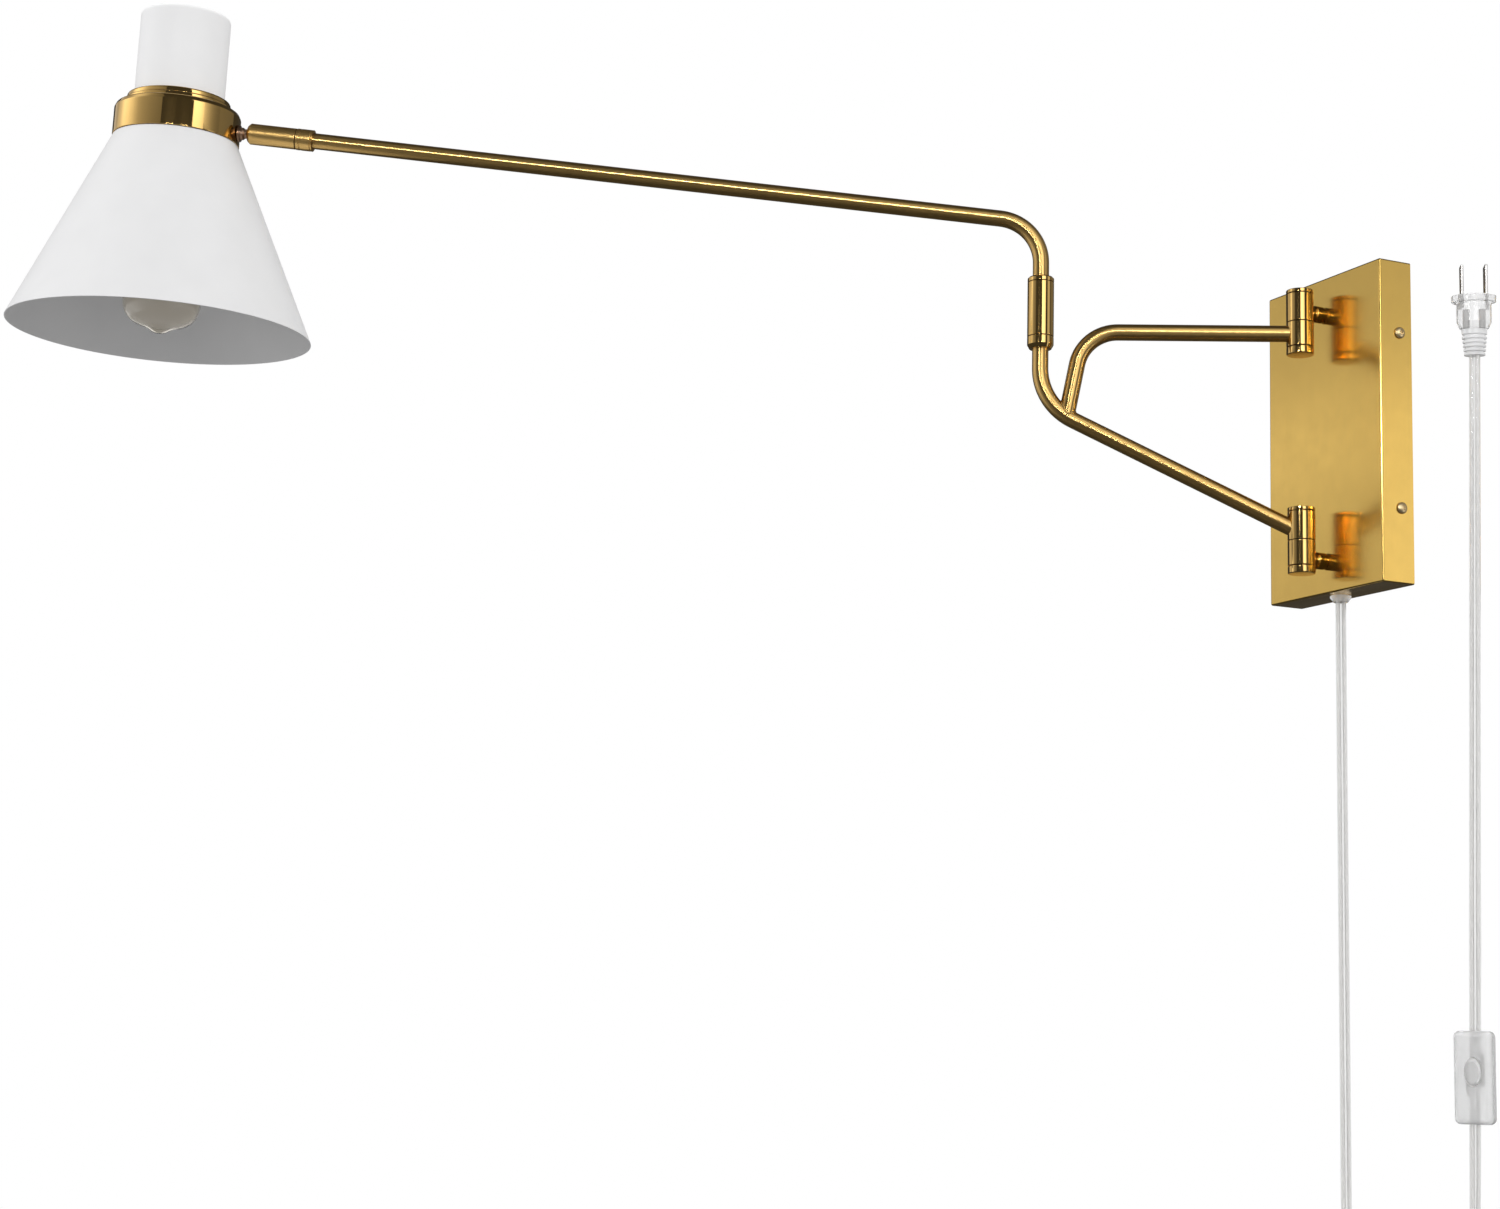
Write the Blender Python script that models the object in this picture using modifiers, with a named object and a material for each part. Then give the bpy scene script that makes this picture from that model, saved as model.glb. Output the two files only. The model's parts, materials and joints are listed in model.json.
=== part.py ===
"""Swing arm wall sconce with a cone shade, a plug-in cord and an inline switch.

Metres, +Z up. The origin is the middle of the wall bracket's back face, +Y goes into the
wall and +X is to the right for someone who faces the wall.
"""
import math

import bmesh
import bpy
from mathutils import Vector

MM = 0.001
GAP = 0.3 * MM                       # clearance between pieces that touch

# Round stock
TUBE_R = 4.76 * MM                   # 3/8 inch arm tube
TUBE_WALL = 1.0 * MM
KNUCKLE_R = 7.9 * MM
SLEEVE_R = 7.7 * MM

# Wall box
CANOPY_W = 104 * MM
CANOPY_H = 186 * MM
CANOPY_D = 22 * MM
CANOPY_WALL = 1.0 * MM
FITTINGS_Z = 0.3 * MM                # middle of the two knuckles and of the side screws
SCREW_SPACING = 101 * MM
SCREW_Y = -8.4 * MM
BRACKET_H = 150 * MM
BRACKET_T = 1.5 * MM

# Wall knuckles
KNUCKLE_Y = -38.2 * MM
SEAM_SPACING = 128.4 * MM
HUB_H = 19.2 * MM                    # one half of a knuckle with its cap
TOP_CAP_H = 2.2 * MM
BOTTOM_CAP_H = 4.4 * MM
WASHER_H = 0.5 * MM
PIN_R = 2.8 * MM
HUB_BORE_R = 3.2 * MM
PIN_HOLE_R = 1.4 * MM                # wire way through each pin
STUD_R = 4.9 * MM

# Lower arm, measured outward from the knuckle axis
ARM_AZIMUTH = math.radians(-119.0)
LOWER_REACH = 149.6 * MM
STRUT_Z = 57.9 * MM
SLANT = math.tan(math.radians(26.35))
SLANT_Z0 = -59.2 * MM                # height of the slanted tube's line at the knuckle axis
LOWER_BEND_R = 34 * MM
STRUT_BEND_R = 24 * MM
STRUT_CORNER_X = 124.6 * MM
STRUT_FOOT = (133.6 * MM, 11.0 * MM)

# Middle pivot
SLEEVE_BOTTOM = 47.4 * MM
SLEEVE_TOP = 90.4 * MM
LOWER_RING_H = 7.1 * MM
UPPER_RING_H = 3.0 * MM

# Upper arm, measured outward from the middle pivot's axis
ARM_RISE = math.radians(6.3)
ARM_Z0 = 123.4 * MM                  # height of the arm's line at the pivot axis
ARM_BEND_R = 27 * MM
BALL_X = 470.6 * MM
BALL_Z = ARM_Z0 + BALL_X * math.tan(ARM_RISE)

# Swivel at the arm's end, measured along the arm from the ball's centre
BALL_R = 4.8 * MM
HANDLE_R = 6.25 * MM
HANDLE_FRONT = 3.0 * MM
HANDLE_BACK = -26.4 * MM
END_RING_R = 6.4 * MM
END_RING_FRONT = -27.0 * MM
END_RING_BACK = -36.9 * MM

# Head, measured from the shade's own axis and down from the ball's level
HEAD_PITCH = math.radians(-2.1)      # the shade's foot leans outward
HEAD_ROLL = math.radians(-2.0)       # and a little to one side
COLLAR_R = 37.5 * MM
NECK_TO_BALL = 9.5 * MM              # collar face to ball centre
BAND_H = 18.0 * MM
BAND_TOP = 11.4 * MM                 # top of the collar's band above the ball
LIP_H = 7.6 * MM
NECK_R = 26.7 * MM
NECK_H = 59.5 * MM                   # neck top above the band's top
SHADE_TOP_R = 37.0 * MM
SHADE_RIM_R = 89.7 * MM
SHADE_H = 116.5 * MM
SHEET = 0.9 * MM
BULB_TIP = 135.5 * MM                # bulb tip below the band's top
BULB_R = 23.0 * MM

# Cord, plug and inline switch
CORD_R = 3.45 * MM
CORD_Y = -11.0 * MM
FLOOR_Z = -505.0 * MM
COIL_X = 57.0 * MM
COIL_Y = -52.0 * MM
COIL_MID_R = 37.5 * MM
COIL_TURNS_WIDE = 2
RISE_Y = -14.0 * MM
PLUG_X = 121.6 * MM
PLUG_Z = 21.0 * MM                   # foot of the plug's strain relief
SWITCH_Z = -363.5 * MM
SWITCH_H = 48 * MM
SWITCH_W = 20 * MM
SWITCH_D = 14 * MM
PLUG_TURN = math.radians(64.6)       # the plug's broad side, turned from the wall
SWITCH_TURN = math.radians(40.0)
ROCKER_REST = math.radians(7.0)      # the button rests with one end pressed

BRASS = ((0.55, 0.40, 0.17, 1), 0.28, 1.0)
BRASS_DARK = ((0.33, 0.24, 0.11, 1), 0.3, 1.0)
WHITE = ((0.86, 0.86, 0.86, 1), 0.5, 0.0)
STEEL = ((0.62, 0.62, 0.6, 1), 0.35, 1.0)
CLEAR = ((0.82, 0.83, 0.82, 1), 0.15, 0.0)
GLASS = ((0.9, 0.9, 0.88, 1), 0.05, 0.0)
BLACK = ((0.03, 0.03, 0.03, 1), 0.5, 0.0)
COPPER = ((0.7, 0.36, 0.2, 1), 0.3, 1.0)
PORCELAIN = ((0.85, 0.84, 0.8, 1), 0.35, 0.0)


def clear_scene():
    """Remove what a new Blender file starts with."""
    for obj in list(bpy.data.objects):
        bpy.data.objects.remove(obj)


def new_collection(name):
    """Add a collection to the scene."""
    collection = bpy.data.collections.new(name)
    bpy.context.scene.collection.children.link(collection)
    return collection


def paint(obj, look):
    """Give the object its own Principled material."""
    colour, roughness, metallic = look
    material = bpy.data.materials.new(obj.name)
    material.use_nodes = True
    shader = material.node_tree.nodes["Principled BSDF"]
    shader.inputs["Base Color"].default_value = colour
    shader.inputs["Roughness"].default_value = roughness
    shader.inputs["Metallic"].default_value = metallic
    obj.data.materials.append(material)


def place(obj, parent, location, rotation):
    """Put the object in its parent's frame."""
    obj.parent = parent
    obj.location = location
    obj.rotation_euler = rotation


def add_part(name, data, look, parent=None, location=(0, 0, 0), rotation=(0, 0, 0)):
    """Link a mesh or curve as a named sub-part."""
    obj = bpy.data.objects.new(name, data)
    PARTS.objects.link(obj)
    place(obj, parent, location, rotation)
    if look is not None:
        paint(obj, look)
    return obj


def add_empty(name, parent, location, rotation=(0, 0, 0)):
    """Add a joint's frame."""
    obj = bpy.data.objects.new(name, None)
    PARTS.objects.link(obj)
    place(obj, parent, location, rotation)
    return obj


def shade_round(mesh):
    """Shade smooth with the real edges kept sharp."""
    mesh.shade_smooth()
    mesh.set_sharp_from_angle(angle=math.radians(35))


def turned(name, profile, look, parent=None, location=(0, 0, 0), rotation=(0, 0, 0), steps=14):
    """Turn a profile of (radius, height) points, top to bottom on its outer side.

    A profile whose ends both lie on the axis is a solid; any other is closed into a ring.
    """
    mesh = bpy.data.meshes.new(name)
    build = bmesh.new()
    points = [build.verts.new((radius, 0, height)) for radius, height in profile]
    for first, second in zip(points, points[1:]):
        build.edges.new((first, second))
    if profile[0][0] > 0 and profile[-1][0] > 0:
        build.edges.new((points[-1], points[0]))
    build.to_mesh(mesh)
    build.free()
    obj = add_part(name, mesh, look, parent, location, rotation)
    screw = obj.modifiers.new("Turn", "SCREW")
    screw.axis = "Z"
    screw.steps = steps
    screw.render_steps = steps
    screw.use_merge_vertices = True
    screw.merge_threshold = 0.00001
    screw.use_smooth_shade = True
    return obj


def cylinder(name, radius, top, bottom, look, parent=None, location=(0, 0, 0),
             rotation=(0, 0, 0), bore=0.0, edge=0.0, steps=14):
    """Turn a plain or bored cylinder with an optional small chamfer on its outer edges."""
    outer = [(radius, top), (radius, bottom)]
    if edge:
        outer = [(radius - edge, top), (radius, top - edge),
                 (radius, bottom + edge), (radius - edge, bottom)]
    if bore:
        profile = [(bore, top)] + outer + [(bore, bottom)]
    else:
        profile = [(0, top)] + outer + [(0, bottom)]
    return turned(name, profile, look, parent, location, rotation, steps)


def block(name, size, look, parent=None, location=(0, 0, 0), rotation=(0, 0, 0), bevel=0.0):
    """Make a box with rounded edges."""
    mesh = bpy.data.meshes.new(name)
    build = bmesh.new()
    bmesh.ops.create_cube(build, size=1.0)
    bmesh.ops.scale(build, vec=size, verts=build.verts)
    build.to_mesh(mesh)
    build.free()
    obj = add_part(name, mesh, look, parent, location, rotation)
    if bevel:
        rounding = obj.modifiers.new("Round", "BEVEL")
        rounding.width = bevel
        rounding.segments = 2
        rounding.limit_method = "ANGLE"
    return obj


def poly_curve(name, points, radius, caps, sides):
    """Make a round bar or an open tube along a row of points."""
    curve = bpy.data.curves.new(name, "CURVE")
    curve.dimensions = "3D"
    curve.bevel_depth = radius
    curve.bevel_resolution = (sides - 4) // 2
    curve.use_fill_caps = caps
    spline = curve.splines.new("POLY")
    spline.points.add(len(points) - 1)
    for knot, point in zip(spline.points, points):
        knot.co = (*point, 1)
    return curve


def curve_to_mesh(obj):
    """Turn a curve object into a welded mesh object with the same place and name."""
    name = obj.name
    parent, location, rotation = obj.parent, obj.location.copy(), obj.rotation_euler.copy()
    evaluated = obj.evaluated_get(bpy.context.evaluated_depsgraph_get())
    mesh = bpy.data.meshes.new_from_object(evaluated)
    build = bmesh.new()
    build.from_mesh(mesh)
    bmesh.ops.remove_doubles(build, verts=build.verts, dist=0.00001)
    build.to_mesh(mesh)
    build.free()
    bpy.data.objects.remove(obj)
    return add_part(name, mesh, None, parent, location, rotation)


def bar(name, points, radius, look, parent=None, sides=12):
    """Make a solid round bar, wire or cord along a row of points."""
    return add_part(name, poly_curve(name, points, radius, True, sides), look, parent)


def tube(name, points, radius, wall, look, parent=None, sides=12):
    """Make an open round tube with a wall along a row of points."""
    obj = add_part(name, poly_curve(name, points, radius, False, sides), look, parent)
    obj = curve_to_mesh(obj)
    shade_round(obj.data)
    shell = obj.modifiers.new("Wall", "SOLIDIFY")
    shell.thickness = wall
    shell.offset = -1.0
    return obj


def hide_cutter(obj):
    """Move a shape to the cutters, out of the model."""
    PARTS.objects.unlink(obj)
    CUTTERS.objects.link(obj)
    obj.hide_render = True
    obj.display_type = "WIRE"


def cut(target, cutter):
    """Take the cutter's shape out of the target."""
    hide_cutter(cutter)
    hole = target.modifiers.new("Cut " + cutter.name, "BOOLEAN")
    hole.operation = "DIFFERENCE"
    hole.solver = "EXACT"
    hole.object = cutter


def drill(target, name, radius, start, end, parent=None):
    """Cut a round hole from one point to another in the parent's frame."""
    start, end = Vector(start), Vector(end)
    axis = end - start
    turn = Vector((0, 0, 1)).rotation_difference(axis).to_euler()
    cutter = cylinder(name, radius, axis.length, 0, None, parent, start, turn, steps=12)
    cut(target, cutter)


def bend(corners, radius, steps=6):
    """Round each inner corner of a path with an arc of the given radius."""
    corners = [Vector(corner) for corner in corners]
    path = [corners[0]]
    for before, corner, after in zip(corners, corners[1:], corners[2:]):
        arriving = (corner - before).normalized()
        leaving = (after - corner).normalized()
        angle = arriving.angle(leaving)
        start = corner - arriving * radius * math.tan(angle / 2)
        inward = (leaving - arriving * arriving.dot(leaving)).normalized()
        for step in range(steps + 1):
            turn = angle * step / steps
            along = arriving * radius * math.sin(turn)
            path.append(start + along + inward * radius * (1 - math.cos(turn)))
    path.append(corners[-1])
    return path


def smooth_route(knots, spacing):
    """Read evenly spaced points from a smooth curve through the route's own points."""
    knots = [Vector(knot) for knot in knots]
    ends = [knots[0] * 2 - knots[1]] + knots + [knots[-1] * 2 - knots[-2]]
    fine = []
    for before, start, stop, after in zip(ends, ends[1:], ends[2:], ends[3:]):
        for step in range(20):
            t = step / 20
            fine.append(0.5 * (2 * start + (stop - before) * t
                               + (2 * before - 5 * start + 4 * stop - after) * t ** 2
                               + (3 * start - before - 3 * stop + after) * t ** 3))
    fine.append(knots[-1])
    length = sum((b - a).length for a, b in zip(fine, fine[1:]))
    count = max(2, round(length / spacing))
    points = [fine[0]]
    walked = 0.0
    for first, second in zip(fine, fine[1:]):
        piece = (second - first).length
        while len(points) < count and walked + piece >= length * len(points) / count:
            share = (length * len(points) / count - walked) / piece
            points.append(first.lerp(second, share))
        walked += piece
    points.append(fine[-1])
    return points


def arm_point(distance, height):
    """A point in an arm's own vertical plane."""
    return (distance, 0, height)


# ---------------------------------------------------------------- wall side


def make_bracket():
    """A strap screwed to the wall box, with two side walls that take the cover's screws."""
    half = CANOPY_W / 2 - CANOPY_WALL - GAP
    depth = 15 * MM
    top = FITTINGS_Z + BRACKET_H / 2
    bottom = FITTINGS_Z - BRACKET_H / 2
    outline = bpy.data.curves.new("mounting_bracket", "CURVE")
    outline.dimensions = "2D"
    outline.fill_mode = "BOTH"
    outline.extrude = (top - bottom) / 2
    spline = outline.splines.new("POLY")
    section = [(-half, 0), (half, 0), (half, -depth), (half - BRACKET_T, -depth),
               (half - BRACKET_T, -BRACKET_T), (BRACKET_T - half, -BRACKET_T),
               (BRACKET_T - half, -depth), (-half, -depth)]
    spline.points.add(len(section) - 1)
    for knot, (x, y) in zip(spline.points, section):
        knot.co = (x, y, 0, 1)
    spline.use_cyclic_u = True
    obj = add_part("mounting_bracket", outline, None, None, (0, 0, (top + bottom) / 2))
    obj = curve_to_mesh(obj)
    paint(obj, STEEL)
    for index, z in enumerate(screw_heights()):
        drill(obj, f"bracket_screw_hole_{index}", 2.0 * MM, (-half - depth, SCREW_Y, z),
              (half + depth, SCREW_Y, z))
    for index, z in enumerate((FITTINGS_Z + 42 * MM, FITTINGS_Z - 42 * MM)):
        drill(obj, f"bracket_wall_hole_{index}", 2.4 * MM, (0, 5 * MM, z), (0, -5 * MM, z))


def screw_heights():
    """Heights of the upper and the lower side screws."""
    return (FITTINGS_Z + SCREW_SPACING / 2, FITTINGS_Z - SCREW_SPACING / 2)


def seam_heights():
    """Heights of the upper and the lower knuckles' seams."""
    return (FITTINGS_Z + SEAM_SPACING / 2, FITTINGS_Z - SEAM_SPACING / 2)


def stud_heights():
    """Heights of the two studs, each in the fixed half of its knuckle."""
    upper, lower = seam_heights()
    return (upper + 6.6 * MM, lower - 10.4 * MM)


def make_canopy():
    """The brass wall box, open at the wall."""
    mesh = bpy.data.meshes.new("canopy")
    build = bmesh.new()
    bmesh.ops.create_cube(build, size=1.0)
    bmesh.ops.scale(build, vec=(CANOPY_W, CANOPY_D, CANOPY_H), verts=build.verts)
    back = [face for face in build.faces if face.normal.y > 0.9]
    bmesh.ops.delete(build, geom=back, context="FACES_ONLY")
    build.to_mesh(mesh)
    build.free()
    obj = add_part("canopy", mesh, BRASS, None, (0, -CANOPY_D / 2, 0))
    rounding = obj.modifiers.new("Round", "BEVEL")
    rounding.width = 1.2 * MM
    rounding.segments = 2
    rounding.limit_method = "ANGLE"
    shell = obj.modifiers.new("Wall", "SOLIDIFY")
    shell.thickness = CANOPY_WALL
    shell.offset = -1.0
    for index, z in enumerate(stud_heights()):
        drill(obj, f"canopy_stud_hole_{index}", 4.0 * MM, (0, -CANOPY_D - 5 * MM, z),
              (0, -CANOPY_D + 5 * MM, z))
    for index, z in enumerate(screw_heights()):
        for side in (-1, 1):
            drill(obj, f"canopy_screw_hole_{index}_{side + 1}", 2.0 * MM,
                  (side * (CANOPY_W / 2 + 5 * MM), SCREW_Y, z),
                  (side * (CANOPY_W / 2 - 5 * MM), SCREW_Y, z))
    drill(obj, "canopy_cord_hole", 4.6 * MM, (0, CORD_Y, -CANOPY_H / 2 + 5 * MM),
          (0, CORD_Y, -CANOPY_H / 2 - 5 * MM))


def make_canopy_screws():
    """Four domed machine screws through the box's sides into the bracket."""
    profile = [(0, 2.3 * MM), (1.6 * MM, 2.1 * MM), (2.8 * MM, 1.3 * MM), (3.4 * MM, GAP),
               (1.7 * MM, GAP), (1.7 * MM, -6 * MM), (0, -6 * MM)]
    names = ("upper", "lower")
    for name, z in zip(names, screw_heights()):
        for side, word in ((-1, "left"), (1, "right")):
            turned(f"canopy_screw_{name}_{word}", profile, BRASS, None,
                   (side * CANOPY_W / 2, SCREW_Y, z), (0, side * math.pi / 2, 0), steps=16)


def make_studs():
    """Two hollow studs that hold the knuckles off the box, with their nuts inside it."""
    front = -CANOPY_D
    for word, z in zip(("upper", "lower"), stud_heights()):
        long = -KNUCKLE_Y - CANOPY_D - KNUCKLE_R + 2.4 * MM
        turned(f"{word}_stud",
               [(1.6 * MM, long), (STUD_R - 1.0 * MM, long), (STUD_R - 1.0 * MM, long - 3.4 * MM),
                (STUD_R, long - 3.4 * MM), (STUD_R, GAP), (3.6 * MM, GAP),
                (3.6 * MM, -7 * MM), (1.6 * MM, -7 * MM)],
               BRASS, None, (0, front, z), (math.pi / 2, 0, 0), steps=16)
        cylinder(f"{word}_stud_nut", 6.0 * MM, -CANOPY_WALL - GAP, -CANOPY_WALL - 3.5 * MM,
                 STEEL, None, (0, front, z), (math.pi / 2, 0, 0), bore=4.6 * MM, steps=6)


def make_hub(name, parent, bottom, top, socket=None):
    """One half of a knuckle, bored for its pin, with a side socket for a tube or a stud."""
    hub = cylinder(name, KNUCKLE_R, top, bottom, BRASS, parent, bore=HUB_BORE_R,
                   edge=0.3 * MM, steps=18)
    if socket is not None:
        radius, inner, outer = socket
        drill(hub, name + "_socket", radius, inner, outer, parent)
    return hub


def make_wall_knuckles(hinge_column):
    """The halves that stay on the wall: top of the upper knuckle, bottom of the lower."""
    upper, lower = seam_heights()
    stud_up, stud_low = stud_heights()
    half_washer = WASHER_H / 2 + GAP
    radius = STUD_R - 1.0 * MM + GAP
    depth = KNUCKLE_R - 2.4 * MM - GAP
    make_hub("upper_fixed_hub", hinge_column, upper + half_washer,
             upper + HUB_H - TOP_CAP_H - GAP,
             (radius, (0, depth, stud_up), (0, 2 * KNUCKLE_R, stud_up)))
    make_hub("lower_fixed_hub", hinge_column, lower - HUB_H + BOTTOM_CAP_H + GAP,
             lower - half_washer,
             (radius, (0, depth, stud_low), (0, 2 * KNUCKLE_R, stud_low)))
    cylinder("upper_fixed_cap", KNUCKLE_R, upper + HUB_H, upper + HUB_H - TOP_CAP_H, BRASS,
             hinge_column, edge=0.4 * MM, steps=18)
    cylinder("lower_fixed_cap", KNUCKLE_R, lower - HUB_H + BOTTOM_CAP_H, lower - HUB_H, BRASS,
             hinge_column, edge=0.6 * MM, steps=18)
    for word, seam, side in (("upper", upper, 1), ("lower", lower, -1)):
        cylinder(f"{word}_knuckle_washer", KNUCKLE_R - 0.4 * MM, seam + WASHER_H / 2,
                 seam - WASHER_H / 2, BLACK, hinge_column, bore=HUB_BORE_R, steps=14)
        ends = sorted((seam + side * 13 * MM, seam - side * 13 * MM))
        cylinder(f"{word}_knuckle_pin", PIN_R, ends[1], ends[0], STEEL, hinge_column,
                 bore=PIN_HOLE_R, steps=14)


def make_strain_relief():
    """The clear bushing that holds the cord in the bottom of the box."""
    turned("cord_strain_relief",
           [(3.7 * MM, 18 * MM), (4.0 * MM, 18 * MM), (4.2 * MM, CANOPY_WALL + GAP),
            (4.2 * MM, -GAP), (6.2 * MM, -GAP), (6.2 * MM, -1.4 * MM), (5.2 * MM, -2.6 * MM),
            (3.8 * MM, -4.0 * MM), (3.75 * MM, -4.0 * MM)],
           CLEAR, None, (0, CORD_Y, -CANOPY_H / 2))


def make_wire_nuts():
    """Two twist-on connectors between the cord's conductors and the lamp's wires."""
    for index, x in enumerate((-24, 24)):
        turned(f"wire_connector_{index + 1}",
               [(0, 9 * MM), (2.4 * MM, 8 * MM), (3.4 * MM, 0), (4.4 * MM, -9 * MM),
                (3.6 * MM, -9 * MM), (2.6 * MM, 4 * MM), (0, 5 * MM)],
               BLACK, None, (x * MM, -11 * MM, -4 * MM), steps=12)


# ---------------------------------------------------------------- lower arm


def lower_arm_path():
    """Centre line of the slanted tube, from its knuckle to the middle pivot."""
    start = KNUCKLE_R - 2.6 * MM
    corner = SLANT_Z0 + LOWER_REACH * SLANT
    return bend([arm_point(start, SLANT_Z0 + start * SLANT), arm_point(LOWER_REACH, corner),
                 arm_point(LOWER_REACH, SLEEVE_BOTTOM + 2.6 * MM)], LOWER_BEND_R)


def strut_path():
    """Centre line of the strut, from its knuckle down to the slanted tube."""
    start = KNUCKLE_R - 2.6 * MM
    return bend([arm_point(start, STRUT_Z), arm_point(STRUT_CORNER_X, STRUT_Z),
                 arm_point(*STRUT_FOOT)], STRUT_BEND_R)


def make_lower_arm(hinge):
    """The brazed double tube that swings on the wall knuckles."""
    upper, lower = seam_heights()
    half_washer = WASHER_H / 2 + GAP
    path = lower_arm_path()
    tube("lower_arm_tube", path, TUBE_R, TUBE_WALL, BRASS, hinge)
    strut = tube("strut_tube", strut_path(), TUBE_R, TUBE_WALL, BRASS, hinge)
    foot = add_part("strut_foot_cut", poly_curve("strut_foot_cut", path, TUBE_R + GAP, True, 12),
                    None, hinge)
    cut(strut, curve_to_mesh(foot))
    socket = TUBE_R + GAP
    inner = KNUCKLE_R - 2.6 * MM - GAP
    make_hub("upper_moving_hub", hinge, upper - HUB_H + BOTTOM_CAP_H + GAP,
             upper - half_washer, (socket, arm_point(inner, STRUT_Z),
                                   arm_point(3 * KNUCKLE_R, STRUT_Z)))
    lean = Vector((1, 0, SLANT)).normalized()
    seat = Vector(arm_point(0, SLANT_Z0)) + lean * (KNUCKLE_R - 2.3 * MM)
    make_hub("lower_moving_hub", hinge, lower + half_washer,
             lower + HUB_H - TOP_CAP_H - GAP, (socket, seat, seat + lean * 20 * MM))
    cylinder("upper_moving_cap", KNUCKLE_R, upper - HUB_H + BOTTOM_CAP_H, upper - HUB_H,
             BRASS, hinge, edge=0.6 * MM, steps=18)
    cylinder("lower_moving_cap", KNUCKLE_R, lower + HUB_H, lower + HUB_H - TOP_CAP_H, BRASS,
             hinge, edge=0.4 * MM, steps=18)
    bar("lower_arm_wire", path[1:-1], 1.6 * MM, BLACK, hinge, sides=6)


def make_pivot_base(hinge):
    """The lower ring of the middle pivot and the hollow spindle that stands in it."""
    ring_top = SLEEVE_BOTTOM + LOWER_RING_H
    turned("pivot_lower_ring",
           [(4.6 * MM, ring_top), (SLEEVE_R - 0.3 * MM, ring_top), (SLEEVE_R, ring_top - 0.3 * MM),
            (SLEEVE_R, SLEEVE_BOTTOM + 2.2 * MM), (SLEEVE_R - 1.2 * MM, SLEEVE_BOTTOM),
            (TUBE_R + GAP, SLEEVE_BOTTOM), (TUBE_R + GAP, SLEEVE_BOTTOM + 3 * MM),
            (4.6 * MM, SLEEVE_BOTTOM + 3 * MM)],
           BRASS, hinge, (LOWER_REACH, 0, 0), steps=18)
    cylinder("pivot_spindle", 4.3 * MM, SLEEVE_TOP - 10 * MM, SLEEVE_BOTTOM + 3.3 * MM, STEEL,
             hinge, (LOWER_REACH, 0, 0), bore=2.2 * MM, steps=18)


# ---------------------------------------------------------------- upper arm


def upper_arm_path():
    """Centre line of the long tube, from the middle pivot to the end ring."""
    end = BALL_X + (END_RING_FRONT - 1.2 * MM) * math.cos(ARM_RISE)
    rise = math.tan(ARM_RISE)
    return bend([arm_point(0, SLEEVE_TOP - 2.6 * MM), arm_point(0, ARM_Z0),
                 arm_point(end, ARM_Z0 + end * rise)], ARM_BEND_R, steps=7)


def make_upper_arm(pivot, swivel_line):
    """The sleeve that turns on the spindle, the long tube and its end ring."""
    ring_top = SLEEVE_BOTTOM + LOWER_RING_H
    barrel_top = SLEEVE_TOP - UPPER_RING_H
    cylinder("pivot_washer", SLEEVE_R - 0.3 * MM, ring_top + GAP + WASHER_H, ring_top + GAP,
             BLACK, pivot, bore=4.7 * MM, steps=14)
    cylinder("pivot_barrel", SLEEVE_R, barrel_top - GAP, ring_top + WASHER_H + 2 * GAP, BRASS,
             pivot, bore=4.7 * MM, edge=0.3 * MM, steps=18)
    turned("pivot_upper_ring",
           [(TUBE_R + GAP, SLEEVE_TOP), (SLEEVE_R - 0.8 * MM, SLEEVE_TOP),
            (SLEEVE_R, SLEEVE_TOP - 0.8 * MM), (SLEEVE_R, barrel_top),
            (TUBE_R + GAP, barrel_top)],
           BRASS, pivot, steps=18)
    path = upper_arm_path()
    tube("upper_arm_tube", path, TUBE_R, TUBE_WALL, BRASS, pivot)
    bar("upper_arm_wire", path[1:-1] + [path[-1] - Vector((4 * MM, 0, 0.5 * MM))], 1.6 * MM,
        BLACK, pivot, sides=6)
    turned("arm_end_ring",
           [(TUBE_R + GAP, END_RING_FRONT - 0.8 * MM), (3.4 * MM, END_RING_FRONT - 0.8 * MM),
            (3.4 * MM, END_RING_FRONT), (END_RING_R, END_RING_FRONT),
            (END_RING_R, END_RING_BACK), (TUBE_R + GAP, END_RING_BACK)],
           BRASS, swivel_line, (0, 0, 0), (0, math.pi / 2, 0), steps=14)


def make_handle(swivel):
    """The turning handle whose front end holds the ball."""
    seat = BALL_R + GAP
    arc = []
    for step in range(5):
        angle = math.radians(56 + step * 20)
        arc.append((seat * math.sin(angle), seat * math.cos(angle)))
    turned("swivel_handle",
           [(seat * math.sin(math.radians(56)), HANDLE_FRONT)]
           + [(HANDLE_R - 1.4 * MM, HANDLE_FRONT), (HANDLE_R, HANDLE_FRONT - 1.6 * MM),
              (HANDLE_R, HANDLE_BACK), (3.0 * MM, HANDLE_BACK), (3.0 * MM, -6.5 * MM)]
           + list(reversed(arc)),
           BRASS, swivel, (0, 0, 0), (0, math.pi / 2, 0), steps=14)


# ---------------------------------------------------------------- head


def make_ball(head):
    """The ball with its waisted neck and flange, fixed to the collar's side."""
    ball = []
    for step in range(7):
        angle = math.radians(36 + step * 19)
        ball.append((BALL_R * math.sin(angle), BALL_R * math.cos(angle)))
    flange = NECK_TO_BALL - GAP
    turned("swivel_ball",
           [(1.4 * MM, flange + 8 * MM), (2.9 * MM, flange + 8 * MM), (2.9 * MM, flange),
            (5.0 * MM, flange), (5.0 * MM, flange - 1.3 * MM), (3.7 * MM, flange - 1.3 * MM),
            (3.7 * MM, flange - 3.0 * MM), (2.8 * MM, flange - 4.2 * MM)]
           + ball + [(1.4 * MM, ball[-1][1])],
           BRASS_DARK, head, (0, 0, 0), (0, math.pi / 2, 0), steps=18)
    inner = NECK_TO_BALL + 3.6 * MM
    cylinder("ball_nut", 5.0 * MM, inner + 3.2 * MM, inner + GAP, STEEL, head, (0, 0, 0),
             (0, math.pi / 2, 0), bore=3.75 * MM, steps=6)


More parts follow.
